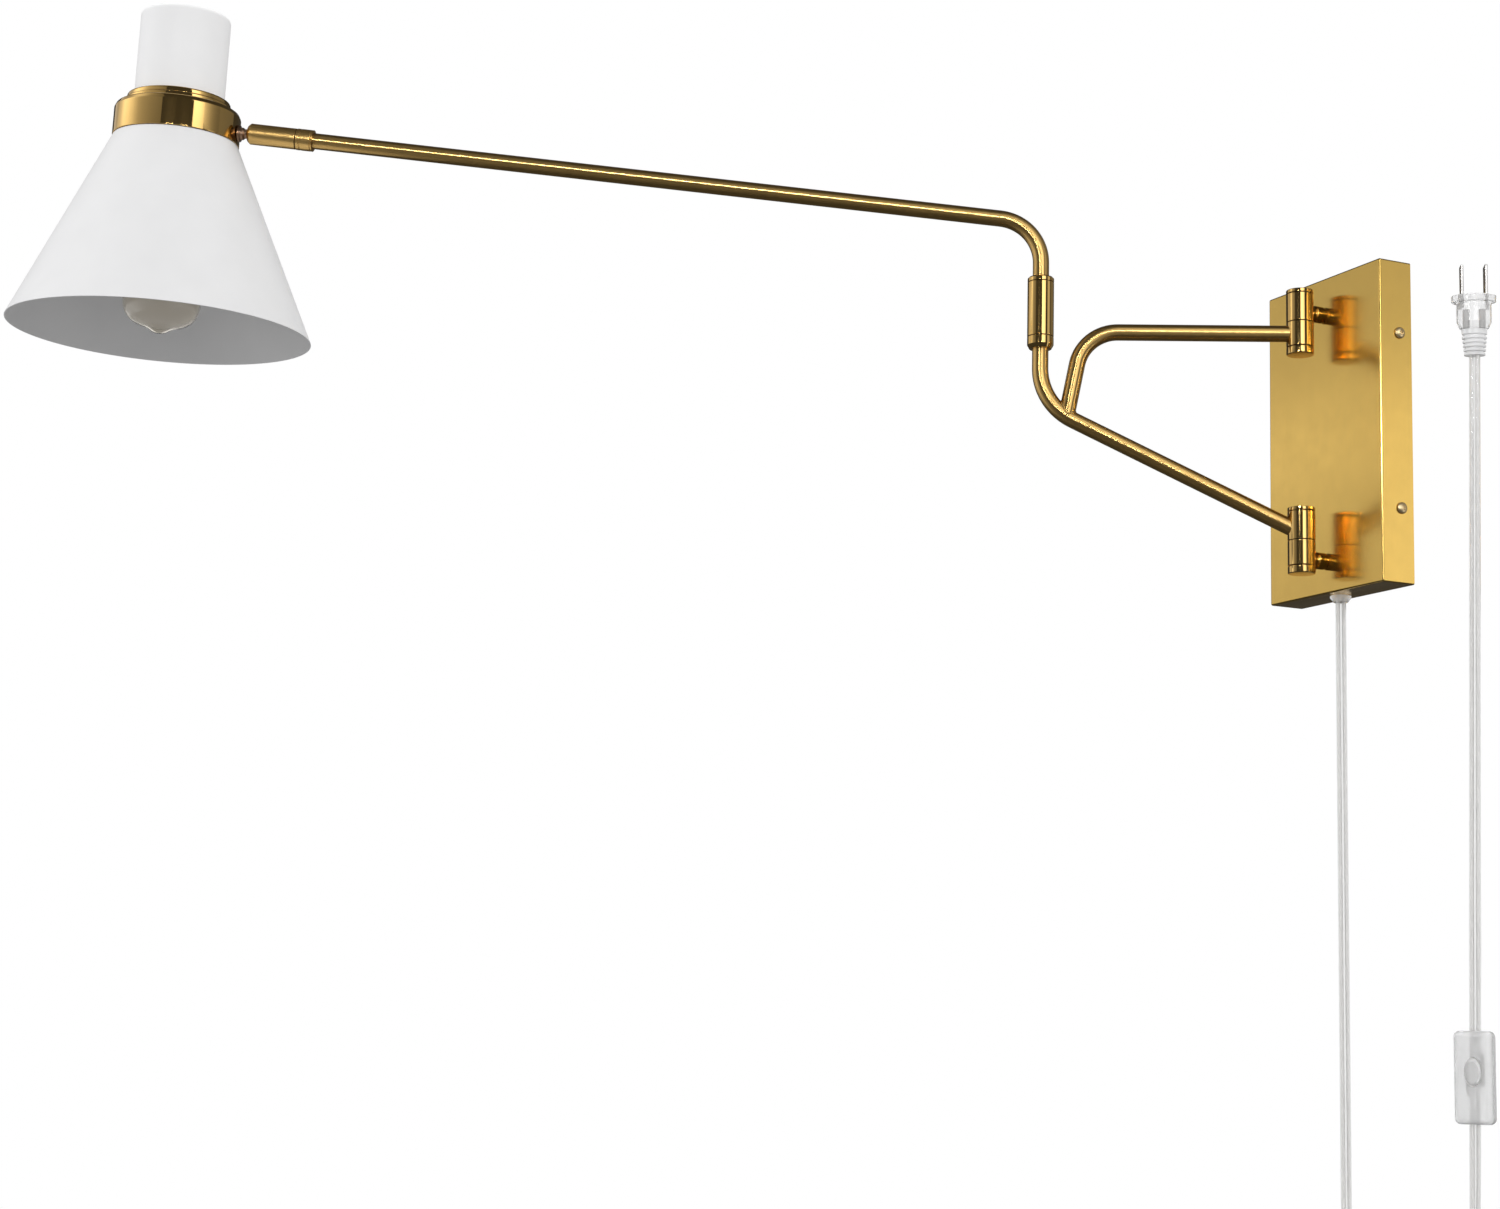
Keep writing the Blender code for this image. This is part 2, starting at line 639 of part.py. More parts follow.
def make_collar(axis):
    """The polished collar with its stepped lip, hollow, with a hole for the ball's thread."""
    top = BAND_TOP
    collar = turned("collar_ring",
                    [(NECK_R - 2.2 * MM, top + LIP_H - 3 * MM),
                     (NECK_R + 0.6 * MM, top + LIP_H - 3 * MM), (NECK_R + 0.6 * MM, top + LIP_H),
                     (NECK_R + 3.2 * MM, top + LIP_H), (NECK_R + 3.8 * MM, top + LIP_H - 0.8 * MM),
                     (NECK_R + 3.8 * MM, top + LIP_H - 2.6 * MM),
                     (NECK_R + 5.0 * MM, top + LIP_H - 3.2 * MM),
                     (COLLAR_R - 1.6 * MM, top + 1.4 * MM), (COLLAR_R, top - 0.6 * MM),
                     (COLLAR_R, top - BAND_H), (COLLAR_R - 3 * MM, top - BAND_H),
                     (COLLAR_R - 3 * MM, top - 1.5 * MM), (NECK_R - 2.2 * MM, top + 2 * MM)],
                    BRASS, axis, steps=24)
    drill(collar, "collar_ball_hole", 3.2 * MM, (-COLLAR_R - 4 * MM, 0, 0),
          (-COLLAR_R + 10 * MM, 0, 0), axis)


def make_neck(axis):
    """The white cup on top of the collar."""
    top = BAND_TOP + NECK_H
    bottom = BAND_TOP + LIP_H - 3 * MM + GAP
    turned("shade_neck",
           [(0, top), (NECK_R - 2.5 * MM, top), (NECK_R - 0.8 * MM, top - 0.7 * MM),
            (NECK_R, top - 2.5 * MM), (NECK_R, bottom), (NECK_R - SHEET, bottom),
            (NECK_R - SHEET, top - 2.5 * MM), (NECK_R - 2.5 * MM, top - SHEET), (0, top - SHEET)],
           WHITE, axis, steps=24)


def make_shade(axis):
    """The white cone, with a short straight spigot that sits inside the collar."""
    top = BAND_TOP - BAND_H - GAP
    bottom = top - SHADE_H
    spigot = COLLAR_R - 3 * MM - GAP
    turned("shade_cone",
           [(spigot - SHEET, top + 1.2 * MM), (spigot, top + 1.2 * MM), (spigot, top),
            (SHADE_TOP_R, top), (SHADE_RIM_R, bottom), (SHADE_RIM_R - SHEET, bottom),
            (SHADE_TOP_R - SHEET, top - 0.9 * MM), (spigot - SHEET, top - 0.9 * MM)],
           WHITE, axis, steps=32)


def make_lampholder(axis):
    """The carrier plate in the collar and the lampholder that hangs from it."""
    plate = BAND_TOP - 3.2 * MM
    carrier = cylinder("carrier_plate", COLLAR_R - 3 * MM - 2 * GAP, plate, plate - 1.5 * MM,
                       STEEL, axis, bore=5.3 * MM, steps=18)
    drill(carrier, "carrier_ball_clearance", 7.5 * MM,
          (-COLLAR_R + 3.5 * MM, 0, plate + 5 * MM), (-COLLAR_R + 3.5 * MM, 0, plate - 6 * MM),
          axis)
    cylinder("lamp_nipple", 4.9 * MM, plate + 7 * MM, plate - 12 * MM, STEEL, axis,
             bore=3.6 * MM, steps=14)
    top = plate - 1.5 * MM - GAP
    floor = top - 20 * MM
    turned("lampholder",
           [(5.2 * MM, top), (9 * MM, top), (17 * MM, top - 7 * MM), (17.5 * MM, top - 12 * MM),
            (17.5 * MM, top - 54 * MM), (15.6 * MM, top - 54 * MM), (15.6 * MM, floor),
            (5.2 * MM, floor)],
           PORCELAIN, axis, steps=14)
    shell_top = floor - GAP
    turned("screw_shell",
           [(0, shell_top), (15.2 * MM, shell_top), (15.2 * MM, shell_top - 28 * MM),
            (14.6 * MM, shell_top - 28 * MM), (14.6 * MM, shell_top - 1 * MM),
            (0, shell_top - 1 * MM)],
           COPPER, axis, steps=14)
    return shell_top - 2 * MM


def make_bulb(axis, contact):
    """A clear pear-shaped bulb with a pointed tip, its screw base and its filament mount."""
    base_low = contact - 26 * MM
    turned("bulb_base",
           [(0, contact), (4.5 * MM, contact), (8 * MM, contact - 3 * MM),
            (13.2 * MM, contact - 5 * MM), (13.2 * MM, base_low), (12.2 * MM, base_low),
            (12.2 * MM, contact - 8 * MM), (0, contact - 8 * MM)],
           STEEL, axis, steps=14)
    tip = BAND_TOP - BULB_TIP
    widest = tip + 17.5 * MM
    top = base_low - GAP
    outline = [(11.5 * MM, top), (13.0 * MM, top - 1 * MM), (14.5 * MM, top - 14 * MM)]
    shoulder = widest + 26 * MM
    for step in range(7):
        angle = math.radians(90 - step * 15)
        outline.append((15.5 * MM + (BULB_R - 15.5 * MM) * math.cos(angle),
                        widest + (shoulder - widest) * math.sin(angle)))
    for radius, height in ((21.8, 11.5), (17.8, 6.4), (11.5, 3.4), (6.2, 2.2), (2.6, 1.0), (0, 0)):
        outline.append((radius * MM, tip + height * MM))
    inner = [(max(radius - 0.8 * MM, 0), height + (0.8 * MM if height < widest else 0))
             for radius, height in reversed(outline)]
    inner[-1] = (outline[0][0] - 0.8 * MM, top)
    turned("bulb_glass", outline + inner, GLASS, axis, steps=18)
    turned("bulb_stem",
           [(0, top - 1 * MM), (7.5 * MM, top - 1 * MM), (3.2 * MM, top - 14 * MM),
            (1.6 * MM, top - 40 * MM), (0, top - 52 * MM)],
           GLASS, axis, steps=10)


# ---------------------------------------------------------------- cord


def coil_height():
    """Thickness of the coil as it lies."""
    return 4 * CORD_R


def make_cords():
    """The cord's two free stretches, the tied coil between them, the switch and the plug."""
    low = FLOOR_Z + CORD_R
    spacing = 5 * CORD_R
    entry = COIL_Y + COIL_MID_R
    drop_end = COIL_X - COIL_MID_R * 0.82
    drop = [(0, CORD_Y, -CANOPY_H / 2 - 4.6 * MM), (0, CORD_Y, -0.20), (0, CORD_Y, -0.30),
            (0, CORD_Y, -0.40), (0, CORD_Y, -0.43), (0.0010, CORD_Y - 0.0004, -0.456),
            (0.0052, CORD_Y - 0.0012, -0.478), (0.0140, CORD_Y - 0.0024, low + 0.0055),
            (drop_end, entry, low + 0.0012)]
    bar("cord_drop", smooth_route(drop, spacing), CORD_R, CLEAR, None, sides=8)
    rise_start = COIL_X + COIL_MID_R * 0.82
    top = low + 2 * CORD_R
    rise = [(rise_start, entry, top), (0.0990, entry + 0.0002, top + 0.0062),
            (0.1062, RISE_Y, -0.470), (0.1096, RISE_Y, -0.446), (0.1105, RISE_Y, -0.425),
            (rise_x(-0.405), RISE_Y, -0.405), (rise_x(SWITCH_Z - 0.029), RISE_Y, SWITCH_Z - 0.0244)]
    bar("cord_rise_lower", smooth_route(rise, spacing), CORD_R, CLEAR, None, sides=8)
    upper = [(rise_x(z), RISE_Y, z) for z in (SWITCH_Z + 0.0244, -0.28, -0.20, -0.12, -0.05,
                                              PLUG_Z - GAP)]
    bar("cord_rise_upper", smooth_route(upper, spacing), CORD_R, CLEAR, None, sides=8)
    half = CORD_R * 2 * COIL_TURNS_WIDE / 2
    turned("cord_coil",
           [(COIL_MID_R - half, coil_height()), (COIL_MID_R + half - 2 * MM, coil_height()),
            (COIL_MID_R + half, coil_height() - 2 * MM), (COIL_MID_R + half, 2 * MM),
            (COIL_MID_R + half - 2 * MM, 0), (COIL_MID_R - half, 0)],
           CLEAR, None, (COIL_X, COIL_Y, FLOOR_Z), steps=24)
    tie = block("coil_tie", (5 * MM, 2 * half + 3.2 * MM, coil_height() + 1.6 * MM), BLACK, None,
                (COIL_X, COIL_Y - COIL_MID_R, FLOOR_Z + coil_height() / 2 + 0.9 * MM))
    slot = block("coil_tie_slot", (9 * MM, 2 * half + 2 * GAP, coil_height() + 2 * GAP), None,
                 None, (COIL_X, COIL_Y - COIL_MID_R + 0.3 * MM, FLOOR_Z + coil_height() / 2))
    cut(tie, slot)


def rise_x(z):
    """The rising stretch leans slightly from the coil to the plug."""
    return PLUG_X + (z - PLUG_Z) * (PLUG_X - 0.1105) / (PLUG_Z + 0.430)


def make_switch():
    """The clear inline switch, a base, a cover and a rocking button."""
    frame = add_empty("switch_frame", None, (rise_x(SWITCH_Z), RISE_Y, SWITCH_Z),
                      (0, 0, SWITCH_TURN))
    half = SWITCH_D / 2
    block("switch_base", (SWITCH_W, half - GAP, SWITCH_H), CLEAR, frame,
          (0, half / 2, 0), bevel=1.6 * MM)
    cover = block("switch_cover", (SWITCH_W, half, SWITCH_H), CLEAR, frame,
                  (0, -half / 2, 0), bevel=1.6 * MM)
    window = block("switch_window", (9.4 * MM, 9 * MM, 15.4 * MM), None, frame,
                   (0, -half - 1.0 * MM, 3 * MM))
    cut(cover, window)
    axle = add_empty("switch_button_axis", frame, (0, -half, 3 * MM), (ROCKER_REST, 0, 0))
    block("switch_button", (8.6 * MM, 3.6 * MM, 14.2 * MM), CLEAR, axle, (0, -0.6 * MM, 0),
          bevel=1.2 * MM)


def make_plug():
    """The clear two-blade plug, with a ribbed strain relief and one blade wider."""
    frame = add_empty("plug_frame", None, (PLUG_X, RISE_Y, PLUG_Z), (0, 0, PLUG_TURN))
    body = [(0, 33.6 * MM), (11.9 * MM, 33.6 * MM), (11.9 * MM, 30.2 * MM), (9.3 * MM, 29.4 * MM),
            (9.2 * MM, 19 * MM), (7.8 * MM, 15.2 * MM), (6.7 * MM, 14.8 * MM)]
    for rib in range(4):
        low = (11.4 - 3 * rib) * MM
        body += [(6.6 * MM - rib * 0.25 * MM, low + 1.6 * MM), (5.6 * MM, low + 1.2 * MM),
                 (5.6 * MM, low), (6.4 * MM - rib * 0.25 * MM, low - 0.4 * MM)]
    body += [(5.4 * MM, 0), (0, 0)]
    plug = turned("plug_body", body, CLEAR, frame, steps=16)
    plug.scale = (1.0, 0.62, 1.0)
    for word, x, width in (("narrow", -6.35, 6.3), ("wide", 6.35, 7.9)):
        slot = block(f"plug_slot_{word}", (1.5 * MM + 2 * GAP, (width + 0.6) * MM, 12 * MM), None,
                     frame, (x * MM, 0, 32 * MM))
        cut(plug, slot)
        block(f"plug_blade_{word}", (1.5 * MM, width * MM, 24.0 * MM), STEEL, frame,
              (x * MM, 0, 38.6 * MM))


def make_sconce():
    """Build every sub-part in the frame that it moves with."""
    make_bracket()
    make_canopy()
    make_canopy_screws()
    make_studs()
    make_strain_relief()
    make_wire_nuts()
    column = add_empty("knuckle_column", None, (0, KNUCKLE_Y, 0))
    make_wall_knuckles(column)
    hinge = add_empty("wall_swing_axis", None, (0, KNUCKLE_Y, 0), (0, 0, ARM_AZIMUTH))
    make_lower_arm(hinge)
    make_pivot_base(hinge)
    pivot = add_empty("middle_swing_axis", hinge, (LOWER_REACH, 0, 0))
    line = add_empty("arm_end_line", pivot, (BALL_X, 0, BALL_Z), (0, -ARM_RISE, 0))
    make_upper_arm(pivot, line)
    swivel = add_empty("head_roll_axis", line, (0, 0, 0))
    make_handle(swivel)
    head = add_empty("head_tilt_axis", pivot, (BALL_X, 0, BALL_Z), (HEAD_ROLL, HEAD_PITCH, 0))
    make_ball(head)
    axis = add_empty("shade_axis", head, (NECK_TO_BALL + COLLAR_R, 0, 0))
    make_collar(axis)
    make_neck(axis)
    make_shade(axis)
    make_bulb(axis, make_lampholder(axis))
    make_cords()
    make_switch()
    make_plug()


clear_scene()
PARTS = new_collection("swing_arm_wall_sconce")
CUTTERS = new_collection("cutters")
make_sconce()
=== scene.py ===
"""Looks of the swing arm wall sconce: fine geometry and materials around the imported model.

Metres, in the model's own frame: origin on the wall, +Y into the wall, +Z up.
"""
import json
from math import atan2, copysign, cos, pi, radians, sin, tan, tau

import bmesh
import bpy
from mathutils import Euler, Matrix, Vector


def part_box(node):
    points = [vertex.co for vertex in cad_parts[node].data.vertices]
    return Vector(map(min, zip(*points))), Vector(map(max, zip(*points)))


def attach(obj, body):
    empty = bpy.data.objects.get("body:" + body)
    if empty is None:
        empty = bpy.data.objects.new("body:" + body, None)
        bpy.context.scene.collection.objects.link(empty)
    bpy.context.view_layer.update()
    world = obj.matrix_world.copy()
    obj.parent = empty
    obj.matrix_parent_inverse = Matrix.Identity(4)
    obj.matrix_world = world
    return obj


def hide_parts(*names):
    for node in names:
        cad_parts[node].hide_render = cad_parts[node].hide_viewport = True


MM = 0.001
SEAM = 0.3 * MM                      # the dark line between pieces that meet

# Camera
CAMERA_PLACE = Vector((1.2530, -0.9813, -0.3565))
CAMERA_YAW = radians(-64.593)
CAMERA_PITCH = radians(9.161)
CAMERA_ROLL = radians(1.453)
CAMERA_LENS = 65.64                  # millimetres on a 36 mm sensor

# Wall side
FITTINGS_Z = 0.3 * MM
SEAM_SPACING = 128.4 * MM
KNUCKLE_R = 7.9 * MM
HUB_H = 19.2 * MM
TOP_CAP_H = 2.2 * MM
BOTTOM_CAP_H = 4.4 * MM
STUD_R = 4.9 * MM
HUB_BORE_R = 3.2 * MM
WASHER_R = 7.1 * MM
WASHER_H = 0.6 * MM
SCREW_SPACING = 101 * MM
SCREW_Y = -8.4 * MM

# Arms
TUBE_R = 4.76 * MM
STRUT_Z = 57.9 * MM
SLANT = tan(radians(26.35))
SLANT_Z0 = -59.2 * MM
LOWER_BEND_R = 34 * MM
STRUT_BEND_R = 24 * MM
STRUT_CORNER_X = 124.6 * MM
STRUT_FOOT = (133.6 * MM, 11.0 * MM)
SLEEVE_R = 7.7 * MM
SLEEVE_BOTTOM = 47.4 * MM
SLEEVE_TOP = 90.4 * MM
RING_BORE_R = 4.6 * MM
SLEEVE_BORE_R = 4.7 * MM
LOWER_RING_H = 7.1 * MM
UPPER_RING_H = 3.0 * MM
ARM_RISE = radians(6.3)
ARM_Z0 = 123.4 * MM
ARM_BEND_R = 27 * MM
BALL_X = 470.6 * MM

# Swivel and head
BALL_R = 4.8 * MM
HANDLE_R = 6.25 * MM
HANDLE_FRONT = 3.0 * MM
HANDLE_BACK = -26.4 * MM
END_RING_R = 6.4 * MM
END_RING_FRONT = -27.0 * MM
END_RING_BACK = -36.9 * MM
HEAD_PITCH = radians(-2.1)
HEAD_ROLL = radians(-2.0)
COLLAR_R = 37.5 * MM
NECK_TO_BALL = 9.5 * MM
BAND_H = 18.0 * MM
BAND_TOP = 11.4 * MM
LIP_H = 7.6 * MM
NECK_R = 26.7 * MM
NECK_H = 59.5 * MM
SHADE_TOP_R = 37.0 * MM
SHADE_RIM_R = 89.7 * MM
SHADE_H = 116.5 * MM
SHEET = 0.9 * MM
HOLDER_TOP = BAND_TOP - 5.0 * MM
BULB_TIP = 135.5 * MM
BULB_R = 23.0 * MM
BULB_NECK_R = 15.5 * MM

# Cord, switch and plug
CORD_WIDTH = 6.9 * MM
CORD_THICK = 3.1 * MM
CORD_R = CORD_WIDTH / 2
CORD_Y = -11.0 * MM
FLOOR_Z = -505.0 * MM
COIL_X = 57.0 * MM
COIL_Y = -52.0 * MM
COIL_MID_R = 37.5 * MM
RISE_Y = -14.0 * MM
RISE_FOOT_X = 0.1105
RISE_FOOT_Z = -0.430
PLUG_X = 121.6 * MM
PLUG_Z = 21.0 * MM
PLUG_FLATNESS = 0.62
BLADE_X = 6.35 * MM
SWITCH_Z = -363.5 * MM
SWITCH_W = 20 * MM
SWITCH_D = 14 * MM
SWITCH_H = 48 * MM
BUTTON_Z = 3 * MM
PLUG_TURN = radians(64.6)
BLADE_TURN = radians(57.0)
SWITCH_TURN = radians(40.0)
CORD_TURN_AT_PLUG = radians(24.0)
ROCKER_REST = radians(7.0)

SKY_LIGHT = 1.38                     # what soft light the shade gets from above
GROUND_LIGHT = 0.44                  # and from below
DARK_ROOM = 0.055                    # what the brass mirrors between the soft boxes
BOX_LOW, BOX_HIGH = -0.45, 1.3       # the soft boxes' feet and tops
LINE_LIGHT = 54.0                    # the short strips that draw the line along the tubes

BRASS = (0.74, 0.48, 0.165)
SATIN_BRASS = (0.76, 0.50, 0.13)
COPPER_BRASS = (0.36, 0.23, 0.15)


# ---- materials


def feed(tree, socket, value):
    """Set a socket to a number or a colour, or link another node's output to it."""
    if isinstance(value, bpy.types.NodeSocket):
        tree.links.new(value, socket)
    else:
        socket.default_value = value


def new_node(tree, kind, inputs, **settings):
    """Add a shader node with its settings and inputs; gives its outputs."""
    made = tree.nodes.new(f"ShaderNode{kind}")
    for name, value in settings.items():
        setattr(made, name, value)
    for name, value in inputs.items():
        feed(tree, made.inputs[name], value)
    return made.outputs


def new_material(name):
    """An empty Principled material, its node tree, its shader and the piece's own coordinates."""
    material = bpy.data.materials.new(name)
    material.use_nodes = True
    tree = material.node_tree
    place = new_node(tree, "TexCoord", {})["Object"]
    return material, tree, tree.nodes["Principled BSDF"], place


def noise(tree, coordinates, scale, stretch=(1, 1, 1), detail=3.0, rough=0.55):
    """Noise in the piece's own coordinates, with cells of 1/scale metres times the stretch."""
    sizes = [scale / factor for factor in stretch]
    place = new_node(tree, "Mapping", {"Vector": coordinates, "Scale": sizes})["Vector"]
    inputs = {"Vector": place, "Scale": 1.0, "Detail": detail, "Roughness": rough}
    return new_node(tree, "TexNoise", inputs)["Fac"]


def remap(tree, value, low, high, start=0.3, end=0.7):
    """Spread a value over a range of numbers."""
    inputs = {"Value": value, "From Min": start, "From Max": end, "To Min": low, "To Max": high}
    return new_node(tree, "MapRange", inputs)["Result"]


def calculate(tree, operation, first, second):
    """A sum, difference or product of numbers or sockets."""
    return new_node(tree, "Math", {0: first, 1: second}, operation=operation)["Value"]


def mix(tree, factor, first, second, kind="FLOAT"):
    """Blend two numbers, or two colours."""
    inputs = {"Factor": factor, "A": first, "B": second}
    return new_node(tree, "Mix", inputs, data_type=kind)["Result"]


def bump(tree, shader, height, strength, depth):
    """Put a height on the surface, on top of any height already there."""
    inputs = {"Height": height, "Strength": strength, "Distance": depth}
    before = shader.inputs["Normal"].links
    if before:
        inputs["Normal"] = before[0].from_socket
    feed(tree, shader.inputs["Normal"], new_node(tree, "Bump", inputs)["Normal"])


def scaled(colour, factor):
    """A darker or lighter copy of a colour."""
    return tuple(min(1.0, part * factor) for part in colour)


def tint(tree, shader, pattern, colour, share):
    """Vary the colour by a pattern, down to a darker share of it."""
    darker = (*scaled(colour, share), 1)
    blend = mix(tree, remap(tree, pattern, 0, 1), (*colour, 1), darker, "RGBA")
    feed(tree, shader.inputs["Base Color"], blend)


def roughen(tree, shader, pattern, low, high):
    """Vary the roughness by a pattern."""
    feed(tree, shader.inputs["Roughness"], remap(tree, pattern, low, high))


def metal(name, colour, roughness, grain=(1, 1, 1), grain_depth=0.0, tarnish=0.9, spread=0.04,
        anisotropy=0.0, smear="around"):
    """Lacquered or plated metal: faint tarnish, handling smudges and a fine directional grain.

    smear says which way reflections are drawn out: around the piece's Z, or along a tube.
    """
    material, tree, shader, place = new_material(name)
    shader.inputs["Metallic"].default_value = 1.0
    shader.inputs["Anisotropic"].default_value = anisotropy
    if anisotropy:
        ways = {"along": {"direction_type": "UV_MAP", "uv_map": "run"},
            "around": {"direction_type": "RADIAL", "axis": "Z"}}
        direction = new_node(tree, "Tangent", {}, **ways[smear])["Tangent"]
        feed(tree, shader.inputs["Tangent"], direction)
    tint(tree, shader, noise(tree, place, 60, detail=4.0), colour, tarnish)
    fine = noise(tree, place, 1600, stretch=grain, detail=5.0, rough=0.7)
    wide = noise(tree, place, 140, detail=3.0)
    dull = calculate(tree, "ADD", remap(tree, fine, 0, spread),
        remap(tree, wide, roughness, roughness + spread))
    feed(tree, shader.inputs["Roughness"], dull)
    if grain_depth:
        bump(tree, shader, fine, 0.25, grain_depth * MM)
    return material


def powder_coat(name, colour, roughness):
    """Matt powder coat: soft orange peel and slight unevenness."""
    material, tree, shader, place = new_material(name)
    uneven = noise(tree, place, 35, detail=2.0)
    tint(tree, shader, uneven, colour, 0.97)
    peel = noise(tree, place, 1100, detail=2.0)
    roughen(tree, shader, peel, roughness - 0.04, roughness + 0.06)
    bump(tree, shader, peel, 0.3, 0.03 * MM)
    bump(tree, shader, uneven, 0.15, 0.2 * MM)
    return material


def moulded(name, colour, roughness):
    """Opaque moulded plastic or glazed ceramic with a fine surface."""
    material, tree, shader, place = new_material(name)
    tint(tree, shader, noise(tree, place, 120, detail=3.0), colour, 0.9)
    peel = noise(tree, place, 1500, detail=2.0)
    roughen(tree, shader, peel, roughness, roughness + 0.08)
    bump(tree, shader, peel, 0.3, 0.02 * MM)
    return material


def clear_plastic(name, colour, roughness, clarity):
    """Clear soft plastic with a slight milky haze and flow ripples."""
    material, tree, shader, place = new_material(name)
    shader.inputs["Transmission Weight"].default_value = clarity
    shader.inputs["IOR"].default_value = 1.24
    haze = noise(tree, place, 260, detail=3.0)
    tint(tree, shader, haze, colour, 0.96)
    roughen(tree, shader, haze, roughness, roughness + 0.07)
    bump(tree, shader, haze, 0.25, 0.05 * MM)
    return material


def clear_glass(name):
    """Blown lamp glass with faint waves."""
    material, tree, shader, place = new_material(name)
    shader.inputs["Transmission Weight"].default_value = 1.0
    shader.inputs["IOR"].default_value = 1.5
    wave = noise(tree, place, 70, detail=2.0)
    # The warm grey tint is partly the glass's own colour and partly painted shade that darkens what shows
    # through the bulb.
    blend = mix(tree, remap(tree, wave, 0, 1), (0.95, 0.91, 0.84, 1), (0.92, 0.88, 0.8, 1), "RGBA")
    feed(tree, shader.inputs["Base Color"], blend)
    roughen(tree, shader, wave, 0.0, 0.02)
    bump(tree, shader, wave, 0.2, 0.1 * MM)
    return material


def stranded(name, colour):
    """Bunched fine wires seen through a clear jacket."""
    material, tree, shader, place = new_material(name)
    shader.inputs["Metallic"].default_value = 0.8
    strands = noise(tree, place, 2600, stretch=(1, 1, 14), detail=4.0)
    tint(tree, shader, strands, colour, 0.85)
    roughen(tree, shader, strands, 0.3, 0.5)
    bump(tree, shader, strands, 0.25, 0.03 * MM)
    return material


def make_looks():
    """Every material of the lamp."""
    return {
        "canopy": metal("satin_brass", SATIN_BRASS, 0.13, grain=(1, 1, 40), grain_depth=0.002,
                        tarnish=0.95, anisotropy=0.75),
        "collar": metal("polished_collar_brass", BRASS, 0.045, tarnish=0.94, spread=0.01),
        "brass": metal("polished_brass", BRASS, 0.045, tarnish=0.94, spread=0.01),
        "satin": metal("turned_brass", scaled(BRASS, 0.96), 0.285, tarnish=0.9, spread=0.02),
        # The tubes' brass is a slightly darker copy of the brass: painted shade.
        "tube": metal("drawn_brass_tube", scaled(BRASS, 0.98), 0.28, tarnish=0.92, spread=0.01,
                      anisotropy=0.98, smear="along"),
        # The screws' paler, whiter brass is painted highlight on the domed heads.
        "screw": metal("screw_brass_painted_highlight", (0.82, 0.64, 0.36), 0.29, tarnish=0.9),
        # Darker, redder brass for the swivel ball and its neck.
        "aged": metal("aged_brass", COPPER_BRASS, 0.25, tarnish=0.8),
        "steel": metal("zinc_steel", (0.62, 0.62, 0.6), 0.3, tarnish=0.85),
        "blade": metal("plated_blade", (0.46, 0.45, 0.44), 0.28, grain=(1, 1, 20), tarnish=0.85),
        "cap": metal("bulb_cap_metal", (0.74, 0.73, 0.7), 0.25, tarnish=0.85),
        "shell": metal("screw_shell_copper", (0.66, 0.42, 0.24), 0.3, tarnish=0.8),
        # The cone and the cup wear one white paint, given as two copies: the cup's lighter copy is painted
        # light.
        "white": powder_coat("white_powder_coat", (0.775, 0.775, 0.78), 0.5),
        "cup": powder_coat("white_powder_coat_cup_painted_light", (0.90, 0.90, 0.905), 0.5),
        "holder": moulded("lampholder_body", (0.8, 0.79, 0.75), 0.35),
        "black": moulded("black_nylon", (0.03, 0.03, 0.03), 0.45),
        "wire": moulded("wire_insulation", (0.06, 0.06, 0.06), 0.4),
        "glass": clear_glass("clear_bulb_glass"),
        "clear": clear_plastic("clear_plastic", (0.99, 0.99, 0.99), 0.1, 0.72),
        "milky": clear_plastic("milky_plastic", (0.97, 0.97, 0.975), 0.2, 0.3),
        "jacket": clear_plastic("clear_cord_jacket", (0.98, 0.98, 0.975), 0.1, 0.88),
        "strands": stranded("tinned_strands", (0.82, 0.81, 0.8)),
        "filament": metal("filament_wire", (0.32, 0.24, 0.18), 0.45, tarnish=0.7),
    }


# ---- making pieces


def new_object(name, data):
    """A new object in the scene."""
    obj = bpy.data.objects.new(name, data)
    bpy.context.scene.collection.objects.link(obj)
    return obj


def applied(obj, helpers=()):
    """An object's mesh with its modifiers applied; the object and its helpers are removed."""
    bpy.context.view_layer.update()
    evaluated = obj.evaluated_get(bpy.context.evaluated_depsgraph_get())
    result = bpy.data.meshes.new_from_object(evaluated)
    result.name = obj.data.name
    for used in (obj, *helpers):
        bpy.data.objects.remove(used)
    return result


def add_piece(name, mesh, place, body, looks, nodes=(), smooth=40):
    """Link a mesh as a piece that rides on a body and stands for some CAD nodes."""
    mesh.shade_smooth()
    mesh.set_sharp_from_angle(angle=radians(smooth))
    obj = new_object(name, mesh)
    obj.matrix_world = place
    obj.modifiers.new("Even shading", "WEIGHTED_NORMAL").keep_sharp = True
    for look in looks if isinstance(looks, (list, tuple)) else [looks]:
        mesh.materials.append(LOOKS[look])
    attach(obj, body)
    if nodes:
        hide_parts(*nodes)
    return obj


def finish_mesh(name, build):
    """Turn a bmesh into a clean mesh with its faces pointing out."""
    bmesh.ops.recalc_face_normals(build, faces=build.faces)
    mesh = bpy.data.meshes.new(name)
    build.to_mesh(mesh)
    build.free()
    return mesh


def rounded(corners, radius, steps=4):
    """Round the corners of an open outline of (radius, height) points.

    A corner may carry its own rounding as a third number.
    """
    points = [Vector(corner[:2]) for corner in corners]
    outline = [points[0]]
    for index in range(1, len(points) - 1):
        before, corner, after = points[index - 1:index + 2]
        wanted = corners[index][2] if len(corners[index]) > 2 else radius
        reach_in = (before - corner).length * 0.49
        reach_out = (after - corner).length * 0.49
        to_start = (before - corner).normalized()
        to_end = (after - corner).normalized()
        opening = to_start.angle(to_end)
        if wanted <= 0 or opening > radians(172):
            outline.append(corner)
            continue
        cut = min(wanted / tan(opening / 2), reach_in, reach_out)
        start = corner + to_start * cut
        end = corner + to_end * cut
        for step in range(steps + 1):
            share = step / steps
            first = start.lerp(corner, share)
            second = corner.lerp(end, share)
            outline.append(first.lerp(second, share))
    outline.append(points[-1])
    return outline


